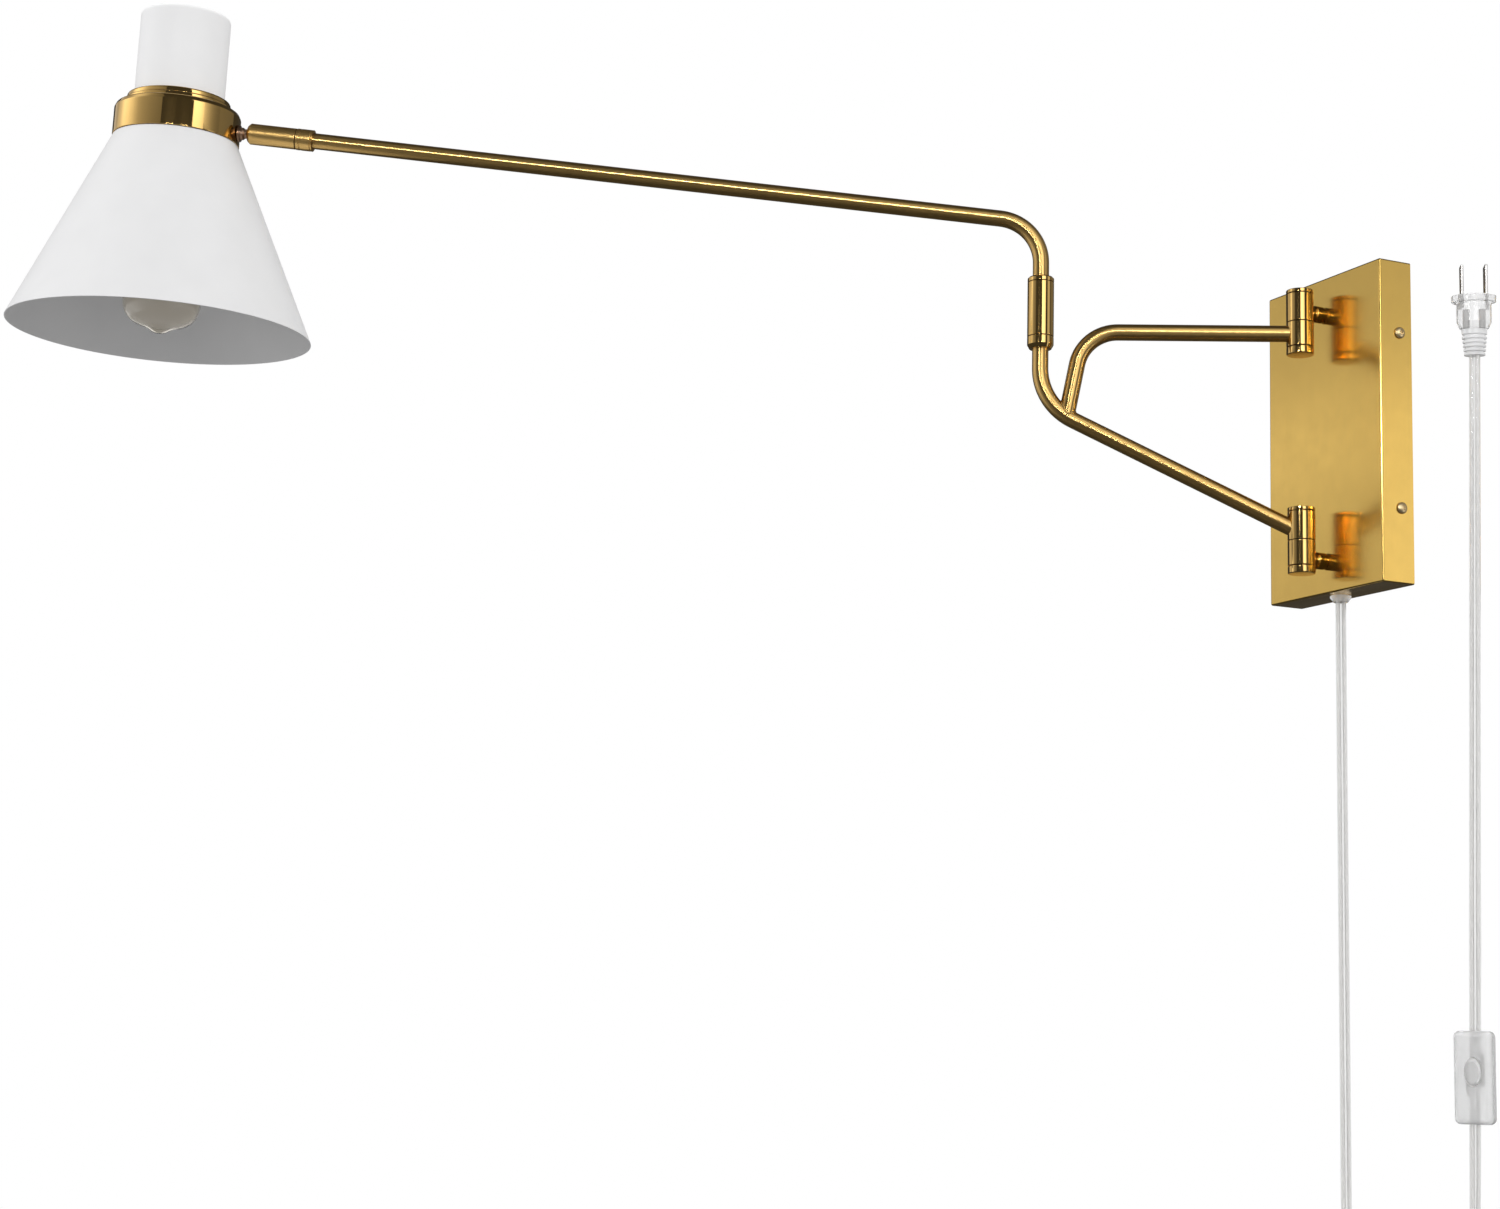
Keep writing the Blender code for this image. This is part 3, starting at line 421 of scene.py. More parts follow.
def lathe(name, corners, edge=0.25 * MM, segments=72, steps=4):
    """Turn a closed outline around Z; outlines that end on the axis are solid."""
    ring_shaped = corners[0][0] > 0 and corners[-1][0] > 0
    if ring_shaped:
        middle = [(corners[0][0] + corners[-1][0]) / 2, (corners[0][1] + corners[-1][1]) / 2]
        corners = [middle, *corners, middle]
    outline = rounded(corners, edge, steps)
    if ring_shaped:
        outline = outline[:-1]
    build = bmesh.new()
    rings = []
    for radius, height in outline:
        if radius < 1e-7:
            rings.append([build.verts.new((0, 0, height))])
            continue
        rings.append([build.verts.new((radius * cos(turn), radius * sin(turn), height))
            for turn in (tau * index / segments for index in range(segments))])
    pairs = list(zip(rings, rings[1:]))
    if ring_shaped:
        pairs.append((rings[-1], rings[0]))
    for upper, lower in pairs:
        for index in range(segments):
            after = (index + 1) % segments
            corners_here = [upper[index % len(upper)], upper[after % len(upper)],
                lower[after % len(lower)], lower[index % len(lower)]]
            unique = list(dict.fromkeys(corners_here))
            if len(unique) > 2:
                build.faces.new(unique)
    bmesh.ops.remove_doubles(build, verts=build.verts, dist=1e-7)
    return finish_mesh(name, build)


def turned(name, place, body, look, nodes, corners, edge, segments, steps=4, smooth=40):
    """A piece turned around its own Z."""
    mesh = lathe(name, corners, edge, segments, steps)
    return add_piece(name, mesh, place, body, look, nodes, smooth)


def sweep(name, path, section, sides_of=None, materials=None):
    """Carry closed sections along a path, with flat caps.

    sides_of gives each point's width direction; without it the frame is carried along
    without twist. section is a list of outlines, each of (across, through) points, and
    materials gives each outline's material number.
    """
    path = [Vector(point) for point in path]
    tangents = []
    for index, point in enumerate(path):
        before = path[max(index - 1, 0)]
        after = path[min(index + 1, len(path) - 1)]
        tangents.append((after - before).normalized())
    width = tangents[0].orthogonal().normalized()
    build = bmesh.new()
    run = build.loops.layers.uv.new("run")
    last = [None] * len(section)
    covered = 0.0
    for index, (point, tangent) in enumerate(zip(path, tangents)):
        step = (point - Vector(path[index - 1])).length if index else 0.0
        covered += step
        if sides_of is not None:
            width = Vector(sides_of[index])
        width = (width - tangent * width.dot(tangent)).normalized()
        through = tangent.cross(width)
        for part, outline in enumerate(section):
            ring = [build.verts.new(point + width * across + through * up) for across, up in outline]
            number = materials[part] if materials else 0
            if last[part] is None:
                build.faces.new(list(reversed(ring))).material_index = number
            else:
                for side in range(len(ring)):
                    nearby = (side + 1) % len(ring)
                    face = build.faces.new((last[part][side], last[part][nearby], ring[nearby],
                        ring[side]))
                    face.material_index = number
                    share = side / len(ring)
                    for loop, place in zip(face.loops, ((covered - step, share),
                            (covered - step, share + 1 / len(ring)), (covered, share + 1 / len(ring)),
                            (covered, share))):
                        loop[run].uv = place
            if index == len(path) - 1:
                build.faces.new(ring).material_index = number
            last[part] = ring
    return finish_mesh(name, build)


def circle(radius, sides, centre=(0, 0)):
    """A round outline."""
    return [(centre[0] + radius * cos(tau * step / sides), centre[1] + radius * sin(tau * step / sides))
        for step in range(sides)]


def box_mesh(name, size, bevel, segments=4, centre=(0, 0, 0)):
    """A box with round edges."""
    build = bmesh.new()
    bmesh.ops.create_cube(build, size=1.0)
    bmesh.ops.scale(build, vec=size, verts=build.verts)
    if bevel:
        bmesh.ops.bevel(build, geom=build.edges[:], offset=bevel, segments=segments, profile=0.5,
            affect="EDGES", clamp_overlap=True)
    bmesh.ops.translate(build, vec=centre, verts=build.verts)
    return finish_mesh(name, build)


def cut_out(mesh, cutters):
    """Take shapes out of a mesh, given as (mesh, matrix) pairs in its own frame."""
    target = new_object("target", mesh)
    made = []
    for cutter, place in cutters:
        tool = new_object("tool", cutter)
        tool.matrix_world = place
        hole = target.modifiers.new("Cut", "BOOLEAN")
        hole.operation = "DIFFERENCE"
        hole.solver = "EXACT"
        hole.object = tool
        made.append(tool)
    return applied(target, made)


def bend(corners, radius, steps=22):
    """Round each inner corner of a path with an arc of the given radius."""
    corners = [Vector(corner) for corner in corners]
    path = [corners[0]]
    for before, corner, after in zip(corners, corners[1:], corners[2:]):
        arriving = (corner - before).normalized()
        leaving = (after - corner).normalized()
        angle = arriving.angle(leaving)
        start = corner - arriving * radius * tan(angle / 2)
        inward = (leaving - arriving * arriving.dot(leaving)).normalized()
        for step in range(steps + 1):
            turn = angle * step / steps
            along = arriving * radius * sin(turn)
            path.append(start + along + inward * radius * (1 - cos(turn)))
    path.append(corners[-1])
    return path


def smooth_curve(knots, spacing):
    """Points at about an even spacing on a smooth curve through the knots."""
    knots = [Vector(knot) for knot in knots]
    ends = [knots[0] * 2 - knots[1]] + knots + [knots[-1] * 2 - knots[-2]]
    points = []
    for before, start, stop, after in zip(ends, ends[1:], ends[2:], ends[3:]):
        count = max(2, round((stop - start).length / spacing))
        for step in range(count):
            t = step / count
            points.append(0.5 * (2 * start + (stop - before) * t
                + (2 * before - 5 * start + 4 * stop - after) * t ** 2
                + (3 * start - before - 3 * stop + after) * t ** 3))
    points.append(knots[-1])
    return points


# ---- frames


def move(x, y, z):
    """A move without a turn."""
    return Matrix.Translation((x, y, z))


def spin(angle, axis):
    """A turn about an axis."""
    return Matrix.Rotation(angle, 4, axis)


def turned_frame(origin, azimuth):
    """A frame at a point, turned about the vertical."""
    return Matrix.Translation(origin) @ spin(azimuth, "Z")


def frame_along(origin, forward, side):
    """A frame whose Z points along a direction, for turned pieces that lie down."""
    forward = Vector(forward).normalized()
    side = (Vector(side) - forward * forward.dot(Vector(side))).normalized()
    up = forward.cross(side)
    turn = Matrix((side, up, forward)).transposed().to_4x4()
    return Matrix.Translation(origin) @ turn


def joint_vector(name, key):
    """A joint's place or axis."""
    for joint in frame["joints"]:
        if joint["name"] == name:
            return Vector(joint[key])
    raise ValueError(name)


# ---- camera and stage


def make_camera():
    """The view: from the right, low, looking slightly up."""
    forward = Vector((sin(CAMERA_YAW) * cos(CAMERA_PITCH), cos(CAMERA_YAW) * cos(CAMERA_PITCH),
        sin(CAMERA_PITCH)))
    level_right = Vector((cos(CAMERA_YAW), -sin(CAMERA_YAW), 0))
    level_up = level_right.cross(forward)
    right = level_right * cos(CAMERA_ROLL) + level_up * sin(CAMERA_ROLL)
    up = level_up * cos(CAMERA_ROLL) - level_right * sin(CAMERA_ROLL)
    data = bpy.data.cameras.new("camera")
    data.lens = CAMERA_LENS
    data.sensor_width = 36
    data.sensor_fit = "HORIZONTAL"
    data.clip_start = 0.01
    obj = new_object("camera", data)
    turn = Matrix((right, up, -forward)).transposed().to_4x4()
    obj.matrix_world = Matrix.Translation(CAMERA_PLACE) @ turn
    bpy.context.scene.camera = obj


def profile_curve(tree, value, levels):
    """A smooth curve of brightness; levels are (share, brightness) pairs."""
    ramp = tree.nodes.new("ShaderNodeFloatCurve")
    points = ramp.mapping.curves[0].points
    most = max(level for _, level in levels)
    while len(points) < len(levels):
        points.new(0.5, 0.5)
    for point, (share, level) in zip(points, levels):
        point.location = (share, level / most)
    ramp.mapping.update()
    tree.links.new(value, ramp.inputs["Value"])
    return calculate(tree, "MULTIPLY", ramp.outputs["Value"], most)


def studio_object(name, build, material):
    """A mesh of the studio, not of the lamp."""
    mesh = bpy.data.meshes.new(name)
    build.to_mesh(mesh)
    build.free()
    mesh.materials.append(material)
    return new_object(name, mesh)


def make_card(name, foot_a, foot_b, bottom, top, along, up=((0, 1.0), (1, 1.0))):
    """A glowing soft-box front that stands between two feet.

    along and up are the brightness across it and the share of that at each height.
    """
    build = bmesh.new()
    corners = [(*foot_a, bottom), (*foot_b, bottom), (*foot_b, top), (*foot_a, top)]
    face = build.faces.new([build.verts.new(corner) for corner in corners])
    layer = build.loops.layers.uv.new("across")
    for loop, place in zip(face.loops, ((0, 0), (1, 0), (1, 1), (0, 1))):
        loop[layer].uv = place
    material = bpy.data.materials.new(name)
    material.use_nodes = True
    tree = material.node_tree
    tree.nodes.remove(tree.nodes["Principled BSDF"])
    share = new_node(tree, "SeparateXYZ", {"Vector": new_node(tree, "UVMap", {})["UV"]})
    level = calculate(tree, "MULTIPLY", profile_curve(tree, share["X"], along),
        profile_curve(tree, share["Y"], up))
    glow = new_node(tree, "Emission", {"Strength": level})["Emission"]
    feed(tree, tree.nodes["Material Output"].inputs["Surface"], glow)
    obj = studio_object(name, build, material)
    for ray in ("camera", "diffuse", "transmission", "shadow"):
        setattr(obj, f"visible_{ray}", False)


def ray_kinds(tree):
    """Two switches: one for rays mirrored by a surface, one for scattered light."""
    rays = new_node(tree, "LightPath", {})
    direct = calculate(tree, "SUBTRACT", 1.0, rays["Is Transmission Ray"])
    return calculate(tree, "MULTIPLY", rays["Is Glossy Ray"], direct), rays["Is Diffuse Ray"]


def make_world():
    """White surroundings, dim where metal mirrors them, as in a room behind soft boxes."""
    world = bpy.data.worlds.new("studio")
    bpy.context.scene.world = world
    world.use_nodes = True
    tree = world.node_tree
    background = tree.nodes["Background"]
    background.inputs["Color"].default_value = (1, 1, 1, 1)
    direction = new_node(tree, "TexCoord", {})["Generated"]
    height = new_node(tree, "SeparateXYZ", {"Vector": direction})["Z"]
    sky = remap(tree, height, GROUND_LIGHT, SKY_LIGHT, -0.15, 0.15)
    mirrored, scattered = ray_kinds(tree)
    lit = mix(tree, scattered, 1.0, sky)
    feed(tree, background.inputs["Strength"], mix(tree, mirrored, lit, DARK_ROOM))


def make_floor():
    """A pale floor, a millimetre under the coil's tie, dim where metal mirrors it."""
    build = bmesh.new()
    bmesh.ops.create_grid(build, x_segments=1, y_segments=1, size=30)
    material, tree, shader, place = new_material("floor")
    shader.inputs["Base Color"].default_value = (0.8, 0.8, 0.8, 1)
    shader.inputs["Roughness"].default_value = 0.9
    shader.inputs["Specular IOR Level"].default_value = 0.1
    distance = new_node(tree, "VectorMath", {0: place}, operation="LENGTH")["Value"]
    far = remap(tree, distance, 0.0, 1.0, 0.35, 0.9)
    mirrored, scattered = ray_kinds(tree)
    layer = shader.outputs["BSDF"]
    for factor, level in ((far, 1.0), (scattered, GROUND_LIGHT), (mirrored, DARK_ROOM)):
        glow = new_node(tree, "Emission", {"Strength": level})["Emission"]
        layer = new_node(tree, "MixShader", {"Fac": factor, 1: layer, 2: glow})["Shader"]
    feed(tree, tree.nodes["Material Output"].inputs["Surface"], layer)
    obj = studio_object("floor", build, material)
    obj.location = (-0.15, -0.35, FLOOR_Z - 1.0 * MM)


def make_stage():
    """The room, the floor and the soft-box fronts that the brass mirrors."""
    bpy.context.scene.view_settings.view_transform = "Standard"
    make_world()
    make_floor()
    make_card("left_box", (0.2265, -1.105), (-2.3, -1.12), BOX_LOW, BOX_HIGH,
        [(0, 0.26), (0.05, 0.33), (0.13, 0.5), (0.19, 0.73), (0.22, 1.05), (0.27, 1.7), (0.31, 1.9),
        (0.36, 1.5), (0.45, 0.9), (0.58, 0.95), (0.7, 1.15), (1, 1.2)],
        [(0, 0.68), (0.42, 0.68), (0.455, 0.8), (0.48, 0.92), (0.505, 0.88), (0.52, 0.74), (0.54, 0.6),
        (1, 0.55)])
    make_card("right_box_low", (0.60, -0.395), (0.573, -0.018), BOX_LOW, 0.2,
        [(0, 0.25), (0.2, 0.3), (0.38, 2.3), (0.6, 2.2), (1, 1.2)],
        [(0, 0.3), (0.62, 0.35), (0.715, 1), (1, 1)])
    make_card("right_box_high", (0.60, -0.395), (0.573, -0.018), 0.2, 1.1,
        [(0, 2.6), (0.5, 2.3), (1, 1.3)], [(0, 1), (0.104, 1), (0.19, 0.75), (0.26, 1), (0.449, 1),
        (0.57, 0.4), (1, 0.3)])
    make_card("back_box_low", (0.62, 0.22), (0.25, 0.75), BOX_LOW, 0.42,
        [(0, 0.25), (0.12, 1.05), (0.46, 1.05), (0.6, 0.3), (1, 0.2)],
        [(0, 1), (0.67, 1), (0.71, 0.86), (0.75, 0.72), (0.79, 0.64), (1, 0.6)])
    make_card("back_box_high", (0.6, 0.0), (0.25, 0.75), 0.42, BOX_HIGH,
        [(0, 1.1), (0.1, 0.8), (0.2, 0.6), (0.4, 0.36), (0.7, 0.23), (1, 0.2)])
    make_card("far_box", (0.25, 0.75), (-0.9, 1.3), BOX_LOW, BOX_HIGH, [(0, 0.23), (1, 0.17)])
    strips = (("side", (1.5, -0.45), (1.3, -0.78)), ("front", (1.1, -1.11), (0.9, -1.44)))
    for word, start, end in strips:
        make_card(f"line_light_{word}", start, end, 0.30, 0.40, [(0, LINE_LIGHT), (1, LINE_LIGHT)])


# ---- cord


def eased(share):
    """A share from 0 to 1 that starts and ends gently."""
    return share * share * (3 - 2 * share)


def coil_route():
    """Four turns, two side by side and two high, wound from the outer bottom turn."""
    low = FLOOR_Z + CORD_R
    steps = 48
    turns = 4
    radii = (CORD_R, -CORD_R, -CORD_R, CORD_R, CORD_R)
    heights = (0, 0, 2 * CORD_R, 2 * CORD_R, 2 * CORD_R)
    points = []
    for index in range(turns * steps + 1):
        turn = index / steps
        lap = min(int(turn), turns - 1)
        share = (turn - lap - 0.72) / 0.28
        share = min(max(share, 0), 1)
        share = eased(share)
        if lap == turns - 1:
            share = 0
        radius = COIL_MID_R + radii[lap] + (radii[lap + 1] - radii[lap]) * share
        height = low + heights[lap] + (heights[lap + 1] - heights[lap]) * share
        angle = pi / 2 - tau * turn
        points.append(Vector((COIL_X + radius * cos(angle), COIL_Y + radius * sin(angle), height)))
    return points


def rise_x(z):
    """The rising stretch leans slightly from the coil to the plug."""
    return PLUG_X + (z - PLUG_Z) * (PLUG_X - RISE_FOOT_X) / (PLUG_Z - RISE_FOOT_Z)


def cord_route():
    """The whole cord, from the bushing under the box to the plug, with its width directions."""
    low = FLOOR_Z + CORD_R
    top = low + 2 * CORD_R
    entry = COIL_Y + COIL_MID_R
    coil = coil_route()
    box_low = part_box("canopy")[0].z
    drop = [(0, CORD_Y, z) for z in (box_low + 6 * MM, box_low - 4 * MM, -0.20, -0.30, -0.40, -0.43)]
    drop += [(0.0010, CORD_Y - 0.0004, -0.456), (0.0052, CORD_Y - 0.0012, -0.478),
        (0.0140, CORD_Y - 0.0024, low + 0.0055), (COIL_X - COIL_MID_R * 0.82, entry, low + 0.0010),
        (0.0440, entry + 0.0020, low)]
    rise = [(0.0700, entry + 0.0022, top), (COIL_X + COIL_MID_R * 0.82, entry, top + 0.0008),
        (0.0990, entry + 0.0002, top + 0.0062), (0.1062, RISE_Y, -0.470), (0.1096, RISE_Y, -0.446),
        (RISE_FOOT_X, RISE_Y, -0.425)]
    rise += [(rise_x(z), RISE_Y, z) for z in (-0.405, SWITCH_Z, -0.28, -0.20, -0.12, -0.05)]
    rise.append((rise_x(PLUG_Z), RISE_Y, PLUG_Z + 6 * MM))
    before = smooth_curve(drop + [coil[0]], 5 * MM)[:-1]
    after = smooth_curve([coil[-1]] + rise, 5 * MM)[1:]
    points = before + coil + after
    facing = Vector((cos(PLUG_TURN), sin(PLUG_TURN), 0))
    keys = [(0, facing), (0.55, facing), (0.86, Vector((0.1, 1, 0))), (1, Vector((0, 0.1, 1))),
        (2, Vector((0, 0, 1))), (2.12, Vector((0, 0.4, 1))), (2.3, Vector((0.3, 1, 0))),
        (2.5, Vector((cos(SWITCH_TURN), sin(SWITCH_TURN), 0))),
        (3, Vector((cos(CORD_TURN_AT_PLUG), sin(CORD_TURN_AT_PLUG), 0)))]
    widths = []
    for index in range(len(points)):
        if index < len(before):
            place = index / len(before)
        elif index < len(before) + len(coil):
            place = 1 + (index - len(before)) / len(coil)
        else:
            place = 2 + (index - len(before) - len(coil)) / max(len(after) - 1, 1)
        for (start, first), (end, second) in zip(keys, keys[1:]):
            if place <= end:
                break
        share = (place - start) / (end - start)
        share = eased(share)
        widths.append(first.normalized().lerp(second.normalized(), share))
    return points, widths


def cord_section():
    """Two round lobes joined by a web, with a bunch of wires in each lobe."""
    lobe = CORD_THICK / 2
    offset = CORD_R - 0.4 * MM - lobe
    outline = []
    for side in (1, -1):
        for step in range(11):
            angle = radians(-125 + 25 * step)
            outline.append((side * (offset + lobe * cos(angle)), side * lobe * sin(angle)))
        outline.append((0, side * lobe * 0.62))
    wires = [circle(0.95 * MM, 10, (side * offset, 0)) for side in (1, -1)]
    return [outline, *wires]


def make_cord():
    """The flat clear cord in one length."""
    points, widths = cord_route()
    mesh = sweep("power_cord", points, cord_section(), widths, (0, 1, 1))
    cord = add_piece("power_cord", mesh, Matrix.Identity(4), "wall_side", ["jacket", "strands"],
        ("cord_drop", "cord_coil", "cord_rise_lower", "cord_rise_upper"), smooth=60)
    return cord, points


def make_bushing():
    """The clear bushing under the box."""
    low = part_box("canopy")[0].z
    return turned("cord_bushing", move(0, CORD_Y, low), "wall_side", "clear",
        ("cord_strain_relief",), [(3.7 * MM, 18 * MM), (4.0 * MM, 18 * MM), (4.2 * MM, 1.3 * MM),
        (4.2 * MM, -SEAM, 0), (6.2 * MM, -SEAM), (6.2 * MM, -1.4 * MM), (5.2 * MM, -2.6 * MM),
        (4.1 * MM, -4.0 * MM), (3.7 * MM, -4.0 * MM)], 0.3 * MM, 64)


def make_tie():
    """A black strap round the coil's turns."""
    half = 2 * CORD_R
    front = COIL_Y - COIL_MID_R
    middle = FLOOR_Z + half
    outer = half + 0.9 * MM
    inner = half + 0.15 * MM
    corners = 6
    build = bmesh.new()
    loops = []
    for reach, soft in ((outer, 2.2 * MM), (inner, 1.6 * MM)):
        loop = []
        for quarter in range(4):
            centre_angle = pi / 4 + quarter * pi / 2
            centre = Vector((copysign(reach - soft, cos(centre_angle)),
                copysign(reach - soft, sin(centre_angle))))
            for step in range(corners + 1):
                angle = quarter * pi / 2 + step * pi / 2 / corners
                loop.append(centre + Vector((cos(angle), sin(angle))) * soft)
        loops.append(loop)
    sides = []
    for x in (-2.5 * MM, 2.5 * MM):
        for loop in loops:
            sides.append([build.verts.new((COIL_X + x, front + point.x, middle + point.y))
                for point in loop])
    count = len(sides[0])
    for first, second in ((0, 2), (3, 1), (1, 0), (2, 3)):
        for index in range(count):
            after = (index + 1) % count
            build.faces.new((sides[first][index], sides[first][after], sides[second][after],
                sides[second][index]))
    bmesh.ops.translate(build, vec=(0, 0, 0.05 * MM), verts=build.verts)
    mesh = finish_mesh("coil_strap", build)
    return add_piece("coil_strap", mesh, Matrix.Identity(4), "wall_side", "black",
        ("coil_tie",))


# ---- switch and plug


def hollow(mesh, wall):
    """Give an open shell a wall, inwards."""
    obj = new_object("shell", mesh)
    shell = obj.modifiers.new("Wall", "SOLIDIFY")
    shell.thickness = wall
    shell.offset = -1.0
    return applied(obj)


def half_case(name, size, bevel, open_side):
    """One half of a case: a rounded box without its face at the parting plane."""
    build = bmesh.new()
    bmesh.ops.create_cube(build, size=1.0)
    bmesh.ops.scale(build, vec=size, verts=build.verts)
    missing = [face for face in build.faces if face.normal.y * open_side > 0.9]
    bmesh.ops.delete(build, geom=missing, context="FACES_ONLY")
    rim = [edge for edge in build.edges if edge.is_boundary]
    soft = [edge for edge in build.edges if edge not in rim]
    bmesh.ops.bevel(build, geom=soft, offset=bevel, segments=6, profile=0.5, affect="EDGES",
        clamp_overlap=True)
    return finish_mesh(name, build)


def make_switch():
    """The clear inline switch: two half cases, a rocking button and brass contacts."""
    place = move(rise_x(SWITCH_Z), RISE_Y, SWITCH_Z) @ spin(SWITCH_TURN, "Z")
    half = SWITCH_D / 2
    base = hollow(half_case("switch_back", (SWITCH_W, half - SEAM, SWITCH_H), 3.0 * MM, -1), 1.3 * MM)
    cover = hollow(half_case("switch_front", (SWITCH_W, half, SWITCH_H), 3.0 * MM, 1), 1.3 * MM)
    window = lathe("switch_window", [(0, 3 * MM), (5.0 * MM, 3 * MM), (5.0 * MM, -3 * MM), (0, -3 * MM)],
        0, 48)
    window.transform(Matrix.Diagonal((0.94, 1.54, 1, 1)))
    standing = spin(pi / 2, "X")
    cover = cut_out(cover, [(window, move(0, -half / 2, BUTTON_Z) @ standing)])
    pieces = [
        add_piece("switch_back", base, place @ move(0, half / 2, 0), "wall_side",
                  "clear", ("switch_base",)),
        add_piece("switch_front", cover, place @ move(0, -half / 2, 0),
                  "wall_side", "clear", ("switch_cover",)),
    ]
    button = lathe("switch_rocker_button", [(0, 1.9 * MM), (3.4 * MM, 1.7 * MM), (4.35 * MM, 0.6 * MM),
        (4.35 * MM, -1.7 * MM), (0, -1.7 * MM)], 0.5 * MM, 64)
    button.transform(Matrix.Diagonal((1.0, 1.62, 1, 1)))
    axle = (place @ move(0, -half, BUTTON_Z) @ spin(ROCKER_REST, "X") @ move(0, -0.6 * MM, 0) @ standing)
    pieces.append(add_piece("switch_rocker_button", button, axle, "switch_button", "clear",
        ("switch_button",)))
    for index, x in enumerate((-3.6 * MM, 3.6 * MM)):
        strip = box_mesh(f"switch_contact_{index}", (2.4 * MM, 0.5 * MM, 17 * MM), 0.12 * MM, 2)
        turn = place @ move(x, 0.6 * MM, -1 * MM + index * 5 * MM)
        pieces.append(add_piece(f"switch_contact_{index}", strip, turn, "wall_side", "blade"))
        spot = place @ move(0, 1.2 * MM, (index * 2 - 1) * 19.0 * MM) @ standing
        pieces.append(turned(f"switch_case_screw_{index}", spot, "wall_side", "steel", (),
            [(0, 2.6 * MM), (1.3 * MM, 2.3 * MM), (1.9 * MM, 1.6 * MM), (1.9 * MM, 0.8 * MM),
            (0.9 * MM, 0.8 * MM), (0.9 * MM, -5 * MM), (0, -5 * MM)], 0.15 * MM, 32))
    return pieces


def make_plug():
    """The clear plug: ribbed relief, grip, flange, two blades with their crimps inside."""
    place = move(PLUG_X, RISE_Y, PLUG_Z) @ spin(BLADE_TURN, "Z")
    grip = [(0, 33.6 * MM), (11.9 * MM, 33.6 * MM), (11.9 * MM, 30.2 * MM), (9.3 * MM, 29.6 * MM),
        (9.2 * MM, 19 * MM), (7.8 * MM, 15.6 * MM), (6.9 * MM, 15.0 * MM), (0, 15.0 * MM)]
    relief = [(0, 14.9 * MM), (6.8 * MM, 14.9 * MM), (6.7 * MM, 12.2 * MM)]
    for rib in range(5):
        low = (9.7 - 2.3 * rib) * MM
        swell = 6.6 * MM - rib * 0.24 * MM
        relief += [(swell - 1.1 * MM, low + 2.2 * MM), (swell - 1.1 * MM, low + 1.3 * MM),
            (swell, low + 1.2 * MM), (swell, low)]
    relief.append((0, 0.5 * MM))
    pieces = []
    for word, corners, look, nodes in (("grip", grip, "clear", ("plug_body",)),
            ("relief", relief, "milky", ())):
        body = lathe(f"plug_{word}", corners, 0.25 * MM, 72)
        body.transform(Matrix.Diagonal((1, PLUG_FLATNESS, 1, 1)))
        pieces.append(add_piece(f"plug_{word}", body, place, "wall_side", look, nodes))
    hole = lathe("blade_hole", [(0, 3 * MM), (1.6 * MM, 3 * MM), (1.6 * MM, -3 * MM), (0, -3 * MM)], 0, 32)
    across = spin(pi / 2, "Y")
    for word, x, width in (("narrow", -BLADE_X, 6.3 * MM), ("wide", BLADE_X, 7.9 * MM)):
        blade = box_mesh(f"{word}_blade", (1.5 * MM, width, 24.0 * MM), 0.35 * MM, 3)
        blade = cut_out(blade, [(hole.copy(), move(0, 0, 8.4 * MM) @ across)])
        spot = place @ move(x, 0, 38.6 * MM)
        pieces.append(add_piece(f"{word}_blade", blade, spot, "wall_side", "blade",
            (f"plug_blade_{word}",)))
        inner = place @ move(x * 0.62, 0, 21.0 * MM)
        pieces.append(turned(f"{word}_crimp", inner, "wall_side", "blade", (),
            [(0, 5 * MM), (1.7 * MM, 5 * MM), (1.7 * MM, -5 * MM), (0, -5 * MM)], 0.3 * MM, 24))
    return pieces


def make_cord_set():
    """The cord with everything on it."""
    cord, points = make_cord()
    pieces = [make_bushing(), make_tie(), *make_switch(), *make_plug()]


# ---- wall side


def make_canopy():
    """The brass box: bent sheet with soft outer edges, open at the wall."""
    low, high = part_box("canopy")
    size = high - low
    centre = (low + high) / 2
    mesh = hollow(half_case("wall_box", size, 1.2 * MM, 1), 1.0 * MM)
    add_piece("wall_box", mesh, Matrix.Translation(centre), "wall_side", "canopy",
        ("canopy",), smooth=50)


def make_side_screws():
    """Domed cross-head screws on both sides of the box."""
    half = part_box("canopy")[1].x
    for level, word in ((1, "upper"), (-1, "lower")):
        for side, name in ((-1, "left"), (1, "right")):
            dome = lathe(f"side_screw_{word}_{name}", [(0, 2.3 * MM), (1.2 * MM, 2.2 * MM),
                (2.4 * MM, 1.7 * MM), (3.2 * MM, 0.9 * MM), (3.4 * MM, 0.3 * MM), (1.7 * MM, 0.3 * MM),
                (1.7 * MM, -6 * MM), (0, -6 * MM)], 0.2 * MM, 48)
            arm = box_mesh("recess", (0.7 * MM, 3.0 * MM, 2.0 * MM), 0)
            twist = spin(0.5 + 0.7 * level + 0.4 * side, "Z")
            depth = move(0, 0, 2.2 * MM)
            dome = cut_out(dome, [(arm, depth @ twist), (arm.copy(), depth @ twist @ spin(pi / 2, "Z"))])
            place = (move(side * half, SCREW_Y, FITTINGS_Z + level * SCREW_SPACING / 2)
                @ spin(side * pi / 2, "Y"))
            add_piece(f"side_screw_{word}_{name}", dome, place, "wall_side", "screw",
                (f"canopy_screw_{word}_{name}",))


def seam_heights():
    """Heights of the upper and the lower knuckles' seams."""
    return (FITTINGS_Z + SEAM_SPACING / 2, FITTINGS_Z - SEAM_SPACING / 2)


